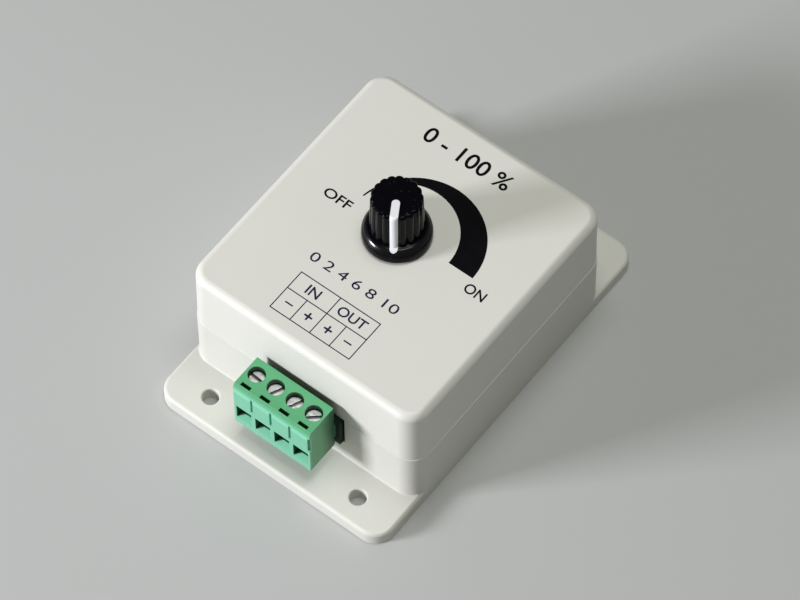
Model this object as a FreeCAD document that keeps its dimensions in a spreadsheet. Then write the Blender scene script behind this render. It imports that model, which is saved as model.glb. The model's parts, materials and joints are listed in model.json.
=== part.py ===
import FreeCAD, Part
import Sketcher
import math
import os
import re
from FreeCAD import Placement, Rotation, Vector

# Light dimmer in a flanged two part case, in millimetres.
# X runs right as seen from the terminals, Y runs to the back, Z runs up.
# The origin is the centre of the underside.

os.makedirs("parts", exist_ok=True)
doc = FreeCAD.newDocument("LightDimmer")
sheet = doc.addObject("Spreadsheet::Sheet", "Sizes")

SIZES = {
    # Case
    "case_wide": 61.0,
    "case_long": 66.5,
    "case_tall": 35.2,
    "case_corner": 4.7,
    "seam_level": 18.2,
    "wall": 2.2,
    "floor_thick": 2.4,
    "lid_thick": 2.2,
    "lid_taper": 1.0,
    "lid_round": 1.8,
    "seam_break": 0.25,
    "flange_reach": 12.25,
    "flange_thick": 3.5,
    "flange_round": 0.9,
    "mount_inset": 10.5,
    "mount_reach": 6.25,
    "mount_hole": 3.8,
    "lip_tall": 1.2,
    "lip_thick": 1.0,
    "lip_gap": 0.15,
    # Case screws and their posts
    "post_inset": 5.9,
    "post_across": 7.0,
    "screw_core": 2.9,
    "screw_slack": 0.35,
    "screw_head": 5.5,
    "screw_head_tall": 1.9,
    "screw_sink": 3.2,
    "screw_bite": 7.0,
    "head_slack": 0.4,
    # Cross drives, as shares of the screw's head
    "cross_long_share": 0.64,
    "cross_wide_share": 0.14,
    "cross_deep_share": 0.5,
    # Circuit board
    "board_top": 9.5,
    "board_thick": 1.6,
    "board_gap": 0.5,
    "post_gap": 0.5,
    "board_screw_side": 4.3,
    "board_screw_end": 13.05,
    "board_post": 6.0,
    "board_screw_core": 2.2,
    "board_screw_head": 4.6,
    "board_screw_head_tall": 1.6,
    "board_screw_bite": 4.0,
    "lead_slack": 0.2,
    # Terminal plug, its reaches taken from the case's front and its heights from its foot
    "pitch": 5.08,
    "plug_reach": 9.71,
    "shoulder_reach": 1.47,
    "plug_drop": 0.63,
    "plug_tall": 15.13,
    "plug_bevel_drop": 1.4,
    "plug_bevel_deep": 0.6,
    "screw_inset": 4.86,
    "screw_hole": 3.9,
    "entry_wide": 4.0,
    "entry_rise": 2.13,
    "entry_tall": 4.5,
    "probe_wide": 2.5,
    "probe_long": 0.9,
    "probe_inset": 1.26,
    "probe_deep": 2.5,
    "groove_wide": 0.58,
    "groove_rise": 8.03,
    "groove_tall": 5.1,
    "groove_deep": 0.6,
    "nose_wide": 19.9,
    "nose_rise": 1.5,
    "nose_tall": 6.2,
    "chamber_wide": 4.6,
    "chamber_deep": 4.2,
    "chamber_rise": 1.33,
    "chamber_roof": 3.0,
    "duct_wide": 2.6,
    "duct_rise": 1.4,
    "duct_tall": 3.8,
    # Terminal screws, clamps and contacts
    "clamp_screw_head": 3.7,
    "clamp_screw_head_tall": 1.2,
    "clamp_screw_depth": 1.7,
    "clamp_screw_core": 2.4,
    "clamp_slot": 0.6,
    "clamp_slot_deep": 0.6,
    "bar_rise": 4.2,
    "bar_thick": 0.8,
    "bar_wide": 2.2,
    "tip_gap": 0.08,
    "thread_gap": 0.06,
    "cage_wide": 4.0,
    "cage_wall": 0.5,
    "cage_nut": 1.0,
    "move_gap": 0.3,
    "pin_thick": 1.0,
    "pin_rise": 3.05,
    "pin_reach": 8.18,
    "pin_stand": 2.32,
    "pin_tail": 1.6,
    "leaf_gap": 0.05,
    "leaf_thick": 0.3,
    "leaf_tall": 2.3,
    "leaf_short": 1.08,
    "web_thick": 1.0,
    # Header
    "header_wide": 22.8,
    "header_long": 12.0,
    "header_tall": 8.5,
    "header_wall": 1.15,
    "header_back": 2.4,
    "notch_gap": 0.3,
    # Potentiometer
    "pot_x": -1.2,
    "pot_y": 1.6,
    "bushing": 7.0,
    "bushing_slack": 0.2,
    "bushing_rise": 3.7,
    "shaft": 6.0,
    "shaft_gap": 0.05,
    "shaft_flat": 1.4,
    "flat_gap": 1.0,
    "plate_thick": 1.2,
    "can_across": 16.5,
    "can_tall": 7.6,
    "can_wall": 0.4,
    "wafer_thick": 1.4,
    "tongue_wide": 11.0,
    "tongue_long": 3.2,
    "wiper_across": 13.0,
    "wiper_thick": 2.0,
    "wiper_spring": 0.9,
    "track_across": 8.7,
    "finger_wide": 0.9,
    "finger_long": 1.8,
    "finger_gap": 0.1,
    "lug_wide": 1.6,
    "lug_thick": 0.4,
    "lug_pitch": 4.0,
    "wire_across": 1.2,
    "key_wide": 2.4,
    "key_thick": 1.0,
    "key_tall": 1.4,
    "key_offset": 6.4,
    "washer_across": 10.6,
    "washer_thick": 0.5,
    "nut_flats": 9.0,
    "nut_thick": 2.0,
    # Knob
    "knob_gap": 0.6,
    "knob_top": 49.8,
    "skirt_across": 15.2,
    "skirt_rim": 1.0,
    "skirt_tall": 3.4,
    "skirt_lap": 0.3,
    "dome_out_share": 0.72,
    "dome_up_share": 0.62,
    "body_low_across": 12.0,
    "body_top_across": 11.2,
    "flute_count": 18.0,
    "flute_deep": 0.42,
    "knob_round": 0.7,
    "knob_roof": 1.7,
    "knob_recess": 11.2,
    "knob_recess_tall": 2.5,
    "pointer_wide": 1.75,
    "pointer_start": 0.75,
    "pointer_end": 7.0,
    "pointer_proud": 0.12,
    "pointer_deep": 0.5,
    "pointer_angle": -59.0,
    # Power transistor and heat sink
    "sink_side": 2.1,
    "sink_end": 1.55,
    "sink_wide": 16.0,
    "sink_plate": 2.0,
    "sink_reach": 8.0,
    "sink_tall": 20.0,
    "fin_thick": 1.0,
    "fin_pitch": 3.75,
    "tab_wide": 10.2,
    "tab_thick": 1.3,
    "tab_tall": 15.6,
    "tab_rise": 4.0,
    "package_tall": 9.2,
    "package_thick": 3.3,
    "tab_screw": 3.0,
    "tab_screw_head": 5.6,
    "tab_screw_head_tall": 1.8,
    "tab_screw_slot": 0.6,
    "tab_screw_reach": 1.0,
    "lead_pitch": 2.54,
    "lead_wide": 0.8,
    "lead_thick": 0.5,
    "tail": 1.2,
    # Capacitors
    "main_cap_side": 1.6,
    "main_cap_end": 5.55,
    "main_cap_across": 10.0,
    "main_cap_tall": 20.0,
    "small_cap_side": 16.5,
    "small_cap_end": 22.25,
    "small_cap_across": 5.0,
    "small_cap_tall": 11.0,
    "can_lead": 0.6,
    "can_lead_pitch": 5.0,
    "small_lead_pitch": 2.0,
    "bead_deep": 0.35,
    "bead_round": 0.7,
    "bead_rise": 2.2,
    "cap_edge": 0.6,
    # Chip
    "chip_side": 12.5,
    "chip_y": 2.0,
    "chip_wide": 6.4,
    "chip_long": 9.6,
    "chip_thick": 3.3,
    "chip_rise": 0.6,
    "chip_dent": 1.2,
    "chip_dent_deep": 0.6,
    "leg_span": 7.62,
    "leg_wide": 0.5,
    "leg_thick": 0.28,
    # Resistors, diode and film capacitors
    "resistor_side": 7.5,
    "resistor_behind": 10.5,
    "resistor_step": 3.6,
    "resistor_across": 2.4,
    "resistor_long": 6.3,
    "resistor_span": 10.16,
    "resistor_lead": 0.6,
    "resistor_rise": 0.4,
    "diode_side": 18.5,
    "diode_end": 16.75,
    "diode_across": 5.2,
    "diode_long": 9.0,
    "diode_span": 15.0,
    "diode_lead": 1.2,
    "film_side": 13.0,
    "film_y": 7.0,
    "film_step": 4.6,
    "film_wide": 7.2,
    "film_thick": 2.6,
    "film_tall": 6.5,
}

for row, (alias, number) in enumerate(SIZES.items(), start=1):
    sheet.set(f"A{row}", alias)
    sheet.set(f"B{row}", str(number))
    sheet.setAlias(f"B{row}", alias)
doc.recompute()


# How far a shape runs past a face that it cuts or joins
PAST = 1.0

# Places worked out from the sizes
PLACES = {
    "past": str(PAST),
    "post_x": "(case_wide / 2 - post_inset)",
    "post_y": "(case_long / 2 - post_inset)",
    "board_screw_x": "(case_wide / 2 - wall - board_screw_side)",
    "board_screw_y": "(case_long / 2 - wall - board_screw_end)",
    "mount_x": "(case_wide / 2 - mount_inset)",
    "mount_y": "(case_long / 2 + mount_reach)",
    "plug_front": "(case_long / 2 + plug_reach)",
    "plug_shoulder": "(case_long / 2 + shoulder_reach)",
    "plug_low": "(board_top - plug_drop)",
    "plug_top": "(plug_low + plug_tall)",
    "screw_row": "(plug_front - screw_inset)",
    "probe_row": "(plug_front - probe_inset)",
    "chamber_front": "(screw_row + chamber_deep / 2)",
    "chamber_back": "(screw_row - chamber_deep / 2)",
    "chamber_low": "(plug_low + chamber_rise)",
    "chamber_top": "(plug_top - chamber_roof)",
    "entry_low": "(plug_low + entry_rise)",
    "groove_low": "(plug_low + groove_rise)",
    "nose_low": "(board_top + nose_rise)",
    "duct_low": "(nose_low + duct_rise)",
    "bar_low": "(nose_low + bar_rise)",
    "pin_level": "(nose_low + pin_rise)",
    "pin_front": "(plug_shoulder - move_gap - header_long + header_back + pin_reach)",
    "pin_back": "(plug_shoulder - move_gap - header_long - pin_stand)",
    "leaf_tip": "(plug_shoulder - header_long + header_back + leaf_short)",
    "sink_x": "(post_across / 2 + sink_side + sink_wide / 2 - post_x)",
    "sink_y": "(case_long / 2 - wall - sink_end - sink_reach)",
    "main_cap_x": "(post_x - post_across / 2 - main_cap_side - main_cap_across / 2)",
    "main_cap_y": "(case_long / 2 - wall - main_cap_end - main_cap_across / 2)",
    "small_cap_x": "(case_wide / 2 - small_cap_side)",
    "small_cap_y": "(small_cap_end - case_long / 2)",
    "chip_x": "(case_wide / 2 - chip_side)",
    "diode_x": "(diode_side - case_wide / 2)",
    "diode_y": "(diode_end - case_long / 2)",
    "resistor_x": "(resistor_side - case_wide / 2)",
    "resistor_y": "(diode_y + resistor_behind)",
    "film_x": "(film_side - case_wide / 2)",
}


def size(alias):
    return float(sheet.get(alias))


def formula(text):
    """Point each size named in an expression at its cell, and write each place out."""
    def written(match):
        word = match.group(0)
        if word in PLACES:
            return formula(PLACES[word])
        return "Sizes." + word if word in SIZES else word
    return re.sub(r"[a-z_]+", written, text)


def bind(thing, **sizes):
    for name, text in sizes.items():
        thing.setExpression(name, formula(text))
    return thing


def move(thing, x="0", y="0", z="0"):
    for axis, text in (("x", x), ("y", y), ("z", z)):
        thing.setExpression(f"Placement.Base.{axis}", formula(text))
    return thing


def block(name, x, y, z):
    """A box between two planes along each axis."""
    box = doc.addObject("Part::Box", name)
    spans = {"Length": x, "Width": y, "Height": z}
    bind(box, **{side: f"({high}) - ({low})" for side, (low, high) in spans.items()})
    return move(box, x[0], y[0], z[0])


UP = Rotation()
BACKWARD = Rotation(Vector(1, 0, 0), -90)
SIDEWAYS = Rotation(Vector(0, 1, 0), 90)


def rod(name, across, start, end, x="0", y="0", z="0", way=UP):
    """A round bar from start to end along its way, placed at x, y, z."""
    bar = doc.addObject("Part::Cylinder", name)
    bind(bar, Radius=f"({across}) / 2", Height=f"({end}) - ({start})")
    bar.Placement = Placement(Vector(), way)
    if way is UP:
        return move(bar, x, y, start)
    if way is BACKWARD:
        return move(bar, x, start, z)
    return move(bar, start, y, z)


def join(name, pieces):
    union = doc.addObject("Part::MultiFuse", name)
    union.Shapes = pieces
    return union


def cut(name, base, tools):
    result = doc.addObject("Part::Cut", name)
    result.Base = base
    result.Tool = tools[0] if len(tools) == 1 else join(name + "_tools", tools)
    return result


def label(thing, name):
    thing.Label = name
    nodes[name] = thing
    return thing


nodes = {}


def origin_plane(body, role):
    return next(item for item in body.Origin.OriginFeatures if item.Role == role)


def rectangle_sketch(body, name, x, y):
    """A rectangle whose four sides are held at distances from the origin."""
    sketch = body.newObject("Sketcher::SketchObject", name)
    sketch.AttachmentSupport = (origin_plane(body, "XY_Plane"), [""])
    sketch.MapMode = "FlatFace"
    rough = 9.0
    turns = [(-rough, -rough), (rough, -rough), (rough, rough), (-rough, rough)]
    for i in range(4):
        start = Vector(*turns[i], 0)
        end = Vector(*turns[(i + 1) % 4], 0)
        sketch.addGeometry(Part.LineSegment(start, end), False)
    for i in range(4):
        sketch.addConstraint(Sketcher.Constraint("Coincident", i, 2, (i + 1) % 4, 1))
    for line, kind in ((0, "Horizontal"), (2, "Horizontal"), (1, "Vertical"), (3, "Vertical")):
        sketch.addConstraint(Sketcher.Constraint(kind, line))
    held = (("DistanceX", 0, -rough, x[0]), ("DistanceX", 1, rough, x[1]),
            ("DistanceY", 0, -rough, y[0]), ("DistanceY", 2, rough, y[1]))
    for kind, line, value, text in held:
        index = sketch.addConstraint(Sketcher.Constraint(kind, -1, 1, line, 1, value))
        sketch.setExpression(f"Constraints[{index}]", formula(text))
    return sketch


# Two levels this near are the same
SAME = 0.001


def edges_at(shape, level):
    names = []
    for number, edge in enumerate(shape.Edges, start=1):
        box = edge.BoundBox
        if abs(box.ZMin - level) < SAME and abs(box.ZMax - level) < SAME:
            names.append(f"Edge{number}")
    return names


def upright_edges(shape):
    names = []
    for number, edge in enumerate(shape.Edges, start=1):
        box = edge.BoundBox
        if box.ZLength > 4 * max(box.XLength, box.YLength):
            names.append(f"Edge{number}")
    return names


def slab(name, x, y, z, corner, taper=None, top_round=None, top_break=None, low_break=None):
    """A padded rectangle with rounded upright corners and, where asked, softened rims."""
    body = doc.addObject("PartDesign::Body", name)
    sketch = rectangle_sketch(body, name + "_outline", x, y)
    pad = body.newObject("PartDesign::Pad", name + "_pad")
    pad.Profile = sketch
    bind(pad, Length=f"({z[1]}) - ({z[0]})")
    if taper:
        bind(pad, TaperAngle=f"-1 * ({taper})")
    doc.recompute()
    height = pad.Shape.BoundBox.ZMax
    steps = (
        ("PartDesign::Fillet", corner, upright_edges),
        ("PartDesign::Fillet", top_round, lambda shape: edges_at(shape, height)),
        ("PartDesign::Chamfer", top_break, lambda shape: edges_at(shape, height)),
        ("PartDesign::Chamfer", low_break, lambda shape: edges_at(shape, 0.0)),
    )
    for kind, text, pick in steps:
        if not text:
            continue
        before = body.Tip
        softened = body.newObject(kind, f"{name}_{kind[12:].lower()}")
        softened.Base = (before, pick(before.Shape))
        bind(softened, **{"Radius" if kind.endswith("Fillet") else "Size": text})
        doc.recompute()
    return move(body, z=z[0])


def corners(x, y):
    return [(f"{sx} * ({x})", f"{sy} * ({y})") for sx in (-1, 1) for sy in (-1, 1)]


# Derived places, as expressions on the sizes
HALF_WIDE = "case_wide / 2"
HALF_LONG = "case_long / 2"
IN_WIDE = "(case_wide / 2 - wall)"
IN_LONG = "(case_long / 2 - wall)"
IN_CORNER = "(case_corner - wall)"
LID_UNDER = "(case_tall - lid_thick)"
BOARD_UNDER = "(board_top - board_thick)"
POLES = [f"{k} * pitch" for k in (-1.5, -0.5, 0.5, 1.5)]
SLOT_TURNS = (-5.0, 65.0, 65.0, 42.0)
CORNER_POSTS = corners("post_x", "post_y")
BOARD_POSTS = corners("board_screw_x", "board_screw_y")
MOUNT_HOLES = corners("mount_x", "mount_y")
HEADER_FRONT = "(move_gap - plug_shoulder)"
HEADER_END = "(move_gap - plug_shoulder + header_long)"
HEADER_TOP = "(board_top + header_tall)"
SOCKET_END = "(move_gap - plug_shoulder + header_long - header_back)"
NOSE_TIP = "(header_long - header_back - plug_shoulder)"


def both(text):
    return (f"-1 * ({text})", f"{text}")


def around(centre, half):
    return (f"({centre}) - ({half})", f"({centre}) + ({half})")


def diagonal(wide, thick):
    return f"sqrt(({wide}) * ({wide}) + ({thick}) * ({thick}))"


def base_shell():
    """Lower case half: floor, walls, both flanges, screw posts and the header's notch."""
    flange = slab("base_flange", both(HALF_WIDE), both(HALF_LONG + " + flange_reach"),
                  ("0", "flange_thick"), "case_corner", top_round="flange_round")
    outer = slab("base_outer", both(HALF_WIDE), both(HALF_LONG), ("0", "seam_level"), "case_corner",
                 top_break="seam_break")
    inner = slab("base_inner", both(IN_WIDE), both(IN_LONG), ("floor_thick", "seam_level + past"),
                 IN_CORNER)
    lip_outer = slab("lip_outer", both(IN_WIDE + " + lip_thick"), both(IN_LONG + " + lip_thick"),
                     ("seam_level - past", "seam_level + lip_tall"), IN_CORNER + " + lip_thick")
    lip_inner = slab("lip_inner", both(IN_WIDE), both(IN_LONG),
                     ("seam_level - 2 * past", "seam_level + lip_tall + past"), IN_CORNER)
    shell = cut("base_tray", join("base_outside", [flange, outer]), [inner])
    lip = cut("base_lip", lip_outer, [lip_inner])
    posts = [rod("base_post", "post_across", "floor_thick / 2", "seam_level", x, y) for x, y in CORNER_POSTS]
    posts += [rod("board_post", "board_post", "floor_thick / 2", BOARD_UNDER, x, y) for x, y in BOARD_POSTS]
    solid = join("base_solid", [shell, lip] + posts)
    tools = [rod("mount_hole", "mount_hole", "-past", "flange_thick + past", x, y) for x, y in MOUNT_HOLES]
    for x, y in CORNER_POSTS:
        tools.append(rod("screw_way", "screw_core + screw_slack", "-past", "seam_level + past", x, y))
        tools.append(rod("screw_recess", "screw_head + head_slack", "-past", "screw_sink", x, y))
    for x, y in BOARD_POSTS:
        tools.append(rod("board_pilot", "board_screw_core", BOARD_UNDER + " - board_screw_bite",
                         BOARD_UNDER + " + past", x, y))
    tools.append(block("header_notch", both("header_wide / 2 + notch_gap"),
                       ("-1 * case_long / 2 - past", "wall - case_long / 2 + past"),
                       ("board_top - notch_gap", "seam_level + lip_tall + past")))
    label(cut("base", solid, tools), "base_shell")


def top_cover():
    """Upper case half: tapered shell with a rounded rim, screw bosses and the bushing's hole."""
    outer = slab("lid_outer", both(HALF_WIDE), both(HALF_LONG), ("seam_level", "case_tall"), "case_corner",
                 taper="lid_taper", top_round="lid_round", low_break="seam_break")
    inner = slab("lid_inner", both(IN_WIDE), both(IN_LONG), ("seam_level - past", LID_UNDER), IN_CORNER,
                 taper="lid_taper")
    proud = " + lip_thick + lip_gap"
    rebate = slab("lid_rebate", both(IN_WIDE + proud), both(IN_LONG + proud),
                  ("seam_level - past", "seam_level + lip_tall + lip_gap"), IN_CORNER + proud)
    shell = cut("lid_shell", outer, [inner, rebate])
    bosses = [rod("lid_boss", "post_across", "seam_level", LID_UNDER + " + lid_thick / 2", x, y)
              for x, y in CORNER_POSTS]
    tools = [rod("lid_pilot", "screw_core", "seam_level - past", "seam_level + screw_bite", x, y)
             for x, y in CORNER_POSTS]
    tools.append(rod("bushing_way", "bushing + bushing_slack", LID_UNDER + " - past", "case_tall + past",
                     "pot_x", "pot_y"))
    tools.append(block("key_pocket", around("pot_x - key_offset", "(key_thick + bushing_slack) / 2"),
                       around("pot_y", "(key_wide + bushing_slack) / 2"),
                       (LID_UNDER + " - past", LID_UNDER + " + key_tall + bushing_slack / 2")))
    label(cut("lid", join("lid_solid", [shell] + bosses), tools), "top_cover")


def screw(name, x, y, head, head_tall, core, seat, reach):
    """A screw whose head's seat is at one level and whose point is at another, along Z."""
    below = f"({seat}) - ({head_tall})"
    up = f"({seat}) + ({head_tall})"
    rising = reach[0] == "up"
    cap = rod(name + "_head", head, below if rising else seat, seat if rising else up, x, y)
    shank = rod(name + "_shank", core, seat if rising else reach[1], reach[1] if rising else seat, x, y)
    if rising:
        drive = (below + " - past", f"{below} + cross_deep_share * ({head_tall})")
    else:
        drive = (f"{up} - cross_deep_share * ({head_tall})", up + " + past")
    long = f"cross_long_share * ({head}) / 2"
    wide = f"cross_wide_share * ({head}) / 2"
    arms = [block(name + "_drive", around(x, long), around(y, wide), drive),
            block(name + "_drive", around(x, wide), around(y, long), drive)]
    return cut(name, join(name + "_blank", [cap, shank]), arms)


def group(name, pieces):
    """Separate solids that share one node."""
    together = doc.addObject("Part::Compound", name + "_group")
    together.Links = pieces
    return label(together, name)


def screws():
    group("case_screws", [screw("case_screw", x, y, "screw_head", "screw_head_tall", "screw_core",
                                "screw_sink", ("up", "seam_level + screw_bite")) for x, y in CORNER_POSTS])
    group("board_screws", [screw("board_screw", x, y, "board_screw_head", "board_screw_head_tall",
                                 "board_screw_core", "board_top",
                                 ("down", BOARD_UNDER + " - board_screw_bite")) for x, y in BOARD_POSTS])


def round_leads(name, across, spots, top):
    """Straight leads that end below the board."""
    return [rod(name, across, BOARD_UNDER + " - tail", top, x, y) for x, y in spots]


# Lead places on the board
PIN_ROW = "(pin_thick / 2 - pin_back - pin_thick)"
PIN_SPOTS = [(x, PIN_ROW) for x in POLES]
TAB_BACK = "sink_y"
LEAD_ROW = "(sink_y - tab_thick - package_thick / 2)"
LEAD_SPOTS = [(f"sink_x + {k} * lead_pitch", LEAD_ROW) for k in (-1, 0, 1)]
CAP_SPOTS = [(f"main_cap_x + {k} * can_lead_pitch / 2", "main_cap_y") for k in (-1, 1)]
SMALL_CAP_SPOTS = [(f"small_cap_x + {k} * small_lead_pitch / 2", "small_cap_y") for k in (-1, 1)]
LEG_SPOTS = [(f"chip_x + {side} * leg_span / 2", f"chip_y + {k} * lead_pitch")
             for side in (-1, 1) for k in (-1.5, -0.5, 0.5, 1.5)]
RESISTOR_LINES = [f"(resistor_x + {k} * resistor_step)" for k in range(4)]
RESISTOR_SPOTS = [(x, f"resistor_y + {k} * resistor_span / 2") for x in RESISTOR_LINES for k in (-1, 1)]
DIODE_SPOTS = [(f"diode_x + {k} * diode_span / 2", "diode_y") for k in (-1, 1)]
FILM_LINES = [f"(film_y + {k} * film_step)" for k in (0, 1)]
FILM_SPOTS = [(f"film_x + {k} * can_lead_pitch / 2", y) for y in FILM_LINES for k in (-1, 1)]
POT_FACE = LID_UNDER
WAFER_TOP = "(case_tall - lid_thick - plate_thick)"
WAFER_UNDER = "(case_tall - lid_thick - plate_thick - wafer_thick)"
TONGUE_END = "(pot_y - can_across / 2 - tongue_long)"
WIRE_SPOTS = [(f"pot_x + {k} * lug_pitch", TONGUE_END + " - lug_wide") for k in (-1, 0, 1)]


def circuit_board():
    """Board with notched corners and a hole for each lead."""
    edge_x = IN_WIDE + " - board_gap"
    edge_y = IN_LONG + " - board_gap"
    plate = block("board_plate", both(edge_x), both(edge_y), (BOARD_UNDER, "board_top"))
    notch_x = "post_x - post_across / 2 - post_gap"
    notch_y = "post_y - post_across / 2 - post_gap"
    level = (BOARD_UNDER + " - past", "board_top + past")
    tools = []
    for sx in (-1, 1):
        for sy in (-1, 1):
            span_x = (notch_x, HALF_WIDE) if sx > 0 else (f"-1 * ({HALF_WIDE})", f"-1 * ({notch_x})")
            span_y = (notch_y, HALF_LONG) if sy > 0 else (f"-1 * ({HALF_LONG})", f"-1 * ({notch_y})")
            tools.append(block("board_notch", span_x, span_y, level))
    drilled = [(BOARD_POSTS, "board_screw_core + screw_slack"),
               (PIN_SPOTS, diagonal("pin_thick", "pin_thick") + " + lead_slack"),
               (LEAD_SPOTS, diagonal("lead_wide", "lead_thick") + " + lead_slack"),
               (LEG_SPOTS, diagonal("leg_wide", "leg_thick") + " + lead_slack"),
               (CAP_SPOTS + SMALL_CAP_SPOTS, "can_lead + lead_slack"),
               (RESISTOR_SPOTS + FILM_SPOTS, "resistor_lead + lead_slack"),
               (DIODE_SPOTS, "diode_lead + lead_slack")]
    for spots, across in drilled:
        tools += [rod("board_hole", across, level[0], level[1], x, y) for x, y in spots]
    label(cut("board", plate, tools), "circuit_board")


def socket_header():
    """Green header on the board: a shroud open to the front, with square pin holes in its back wall."""
    outer = block("header_outer", both("header_wide / 2"), (HEADER_FRONT, HEADER_END),
                  ("board_top", HEADER_TOP))
    tools = [block("header_socket", both("header_wide / 2 - header_wall"),
                   (HEADER_FRONT + " - past", SOCKET_END),
                   ("nose_low - move_gap", "nose_low + nose_tall + move_gap"))]
    for x in POLES:
        tools.append(block("header_hole", around(x, "pin_thick / 2"),
                           (SOCKET_END + " - past", HEADER_END + " + past"),
                           around("pin_level", "pin_thick / 2")))
    label(cut("header", outer, tools), "socket_header")
    pins = []
    for x in POLES:
        level = block("pin_level_run", around(x, "pin_thick / 2"), ("-1 * pin_front", "-1 * pin_back"),
                      around("pin_level", "pin_thick / 2"))
        drop = block("pin_drop", around(x, "pin_thick / 2"), ("-1 * pin_back - pin_thick", "-1 * pin_back"),
                     (BOARD_UNDER + " - pin_tail", "pin_level + pin_thick / 2"))
        pins.append(join("pin", [level, drop]))
    group("header_pins", pins)


def plug_profile(body):
    """Side outline of the plug's block, with its bevelled front top edge."""
    sketch = body.newObject("Sketcher::SketchObject", "plug_outline")
    sketch.AttachmentSupport = (origin_plane(body, "YZ_Plane"), [""])
    sketch.MapMode = "FlatFace"
    places = [("-1 * plug_front", "plug_low"), ("-1 * plug_shoulder", "plug_low"),
              ("-1 * plug_shoulder", "plug_top"), ("plug_bevel_deep - plug_front", "plug_top"),
              ("-1 * plug_front", "plug_top - plug_bevel_drop")]
    rough = [(-42, 9), (-35, 9), (-35, 24), (-41, 24), (-42, 22)]
    start = [Vector(across, up, 0) for across, up in rough]
    for i in range(5):
        sketch.addGeometry(Part.LineSegment(start[i], start[(i + 1) % 5]), False)
    for i in range(5):
        sketch.addConstraint(Sketcher.Constraint("Coincident", i, 2, (i + 1) % 5, 1))
    for i, (across, up) in enumerate(places):
        for kind, text, value in (("DistanceX", across, start[i].x), ("DistanceY", up, start[i].y)):
            index = sketch.addConstraint(Sketcher.Constraint(kind, -1, 1, i, 1, value))
            sketch.setExpression(f"Constraints[{index}]", formula(text))
    return sketch


def plug_body():
    """Green plug: block and nose, with a screw hole, wire entry, chamber and contact duct for each pole."""
    body = doc.addObject("PartDesign::Body", "plug_block")
    pad = body.newObject("PartDesign::Pad", "plug_pad")
    pad.Profile = plug_profile(body)
    pad.Midplane = True
    bind(pad, Length="4 * pitch")
    doc.recompute()
    nose = block("plug_nose", both("nose_wide / 2"), ("-1 * plug_shoulder - past", NOSE_TIP),
                 ("nose_low", "nose_low + nose_tall"))
    tools = []
    for x in POLES:
        tools.append(rod("screw_hole", "screw_hole", "chamber_top - past", "plug_top + past",
                         x, "-1 * screw_row"))
        tools.append(block("entry", around(x, "entry_wide / 2"),
                           ("-1 * plug_front - past", "past - chamber_front"),
                           ("entry_low", "entry_low + entry_tall")))
        tools.append(block("probe_slot", around(x, "probe_wide / 2"),
                           around("-1 * probe_row", "probe_long / 2"),
                           ("plug_top - probe_deep", "plug_top + past")))
        tools.append(block("front_groove", (f"{x} + pitch / 2 - groove_wide", f"{x} + pitch / 2"),
                           ("-1 * plug_front - past", "groove_deep - plug_front"),
                           ("groove_low", "groove_low + groove_tall")))
        tools.append(block("chamber", around(x, "chamber_wide / 2"),
                           ("-1 * chamber_front", "-1 * chamber_back"),
                           ("chamber_low", "chamber_top")))
        tools.append(block("duct", around(x, "duct_wide / 2"),
                           ("-1 * chamber_back - past", NOSE_TIP + " + past"),
                           ("duct_low", "duct_low + duct_tall")))
    label(cut("plug", join("plug_solid", [body, nose]), tools), "plug_body")


def plug_contacts():
    """Forked contacts: two leaves beside each pin, a web across the duct and a bar through the cage."""
    contacts = []
    for x in POLES:
        web_front = "-1 * plug_shoulder"
        web_back = "web_thick - plug_shoulder"
        leaf_low = "bar_low - leaf_tall"
        parts = [block("bar", around(x, "bar_wide / 2"), ("move_gap - chamber_front", web_back),
                       ("bar_low", "bar_low + bar_thick")),
                 block("web", around(x, "duct_wide / 2"), (web_front, web_back),
                       (leaf_low, "bar_low + bar_thick"))]
        for side in (-1, 1):
            near = f"({x}) + {side} * (pin_thick / 2 + leaf_gap)"
            far = f"({x}) + {side} * (pin_thick / 2 + leaf_gap + leaf_thick)"
            span = (near, far) if side > 0 else (far, near)
            parts.append(block("leaf", span, (web_front, "-1 * leaf_tip"), (leaf_low, "bar_low")))
        contacts.append(join("contact", parts))
    group("plug_contacts", contacts)


def turned_slot(x, y, turn, head_top):
    """A screwdriver slot across a terminal screw's head, turned about the screw."""
    long = "(clamp_screw_head + past)"
    slot = doc.addObject("Part::Box", "terminal_slot")
    bind(slot, Length=long, Width="clamp_slot", Height="clamp_slot_deep + past")
    slot.Placement = Placement(Vector(), Rotation(Vector(0, 0, 1), turn))
    back = f"{x} - {long} / 2 * cos({turn} deg) + clamp_slot / 2 * sin({turn} deg)"
    side = f"{y} - {long} / 2 * sin({turn} deg) - clamp_slot / 2 * cos({turn} deg)"
    return move(slot, back, side, f"{head_top} - clamp_slot_deep")


def terminal_screws():
    """A slotted screw at each pole, as far round as it was last left."""
    y = "-1 * screw_row"
    head_top = "(plug_top - clamp_screw_depth)"
    head_low = "(plug_top - clamp_screw_depth - clamp_screw_head_tall)"
    for number, (x, turn) in enumerate(zip(POLES, SLOT_TURNS), start=1):
        head = rod("terminal_head", "clamp_screw_head", head_low, head_top, x, y)
        shank = rod("terminal_shank", "clamp_screw_core", "bar_low + bar_thick + tip_gap", head_low, x, y)
        slot = turned_slot(x, y, turn, head_top)
        label(cut("terminal", join("terminal_blank", [head, shank]), [slot]), f"terminal_screw_{number}")


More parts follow.
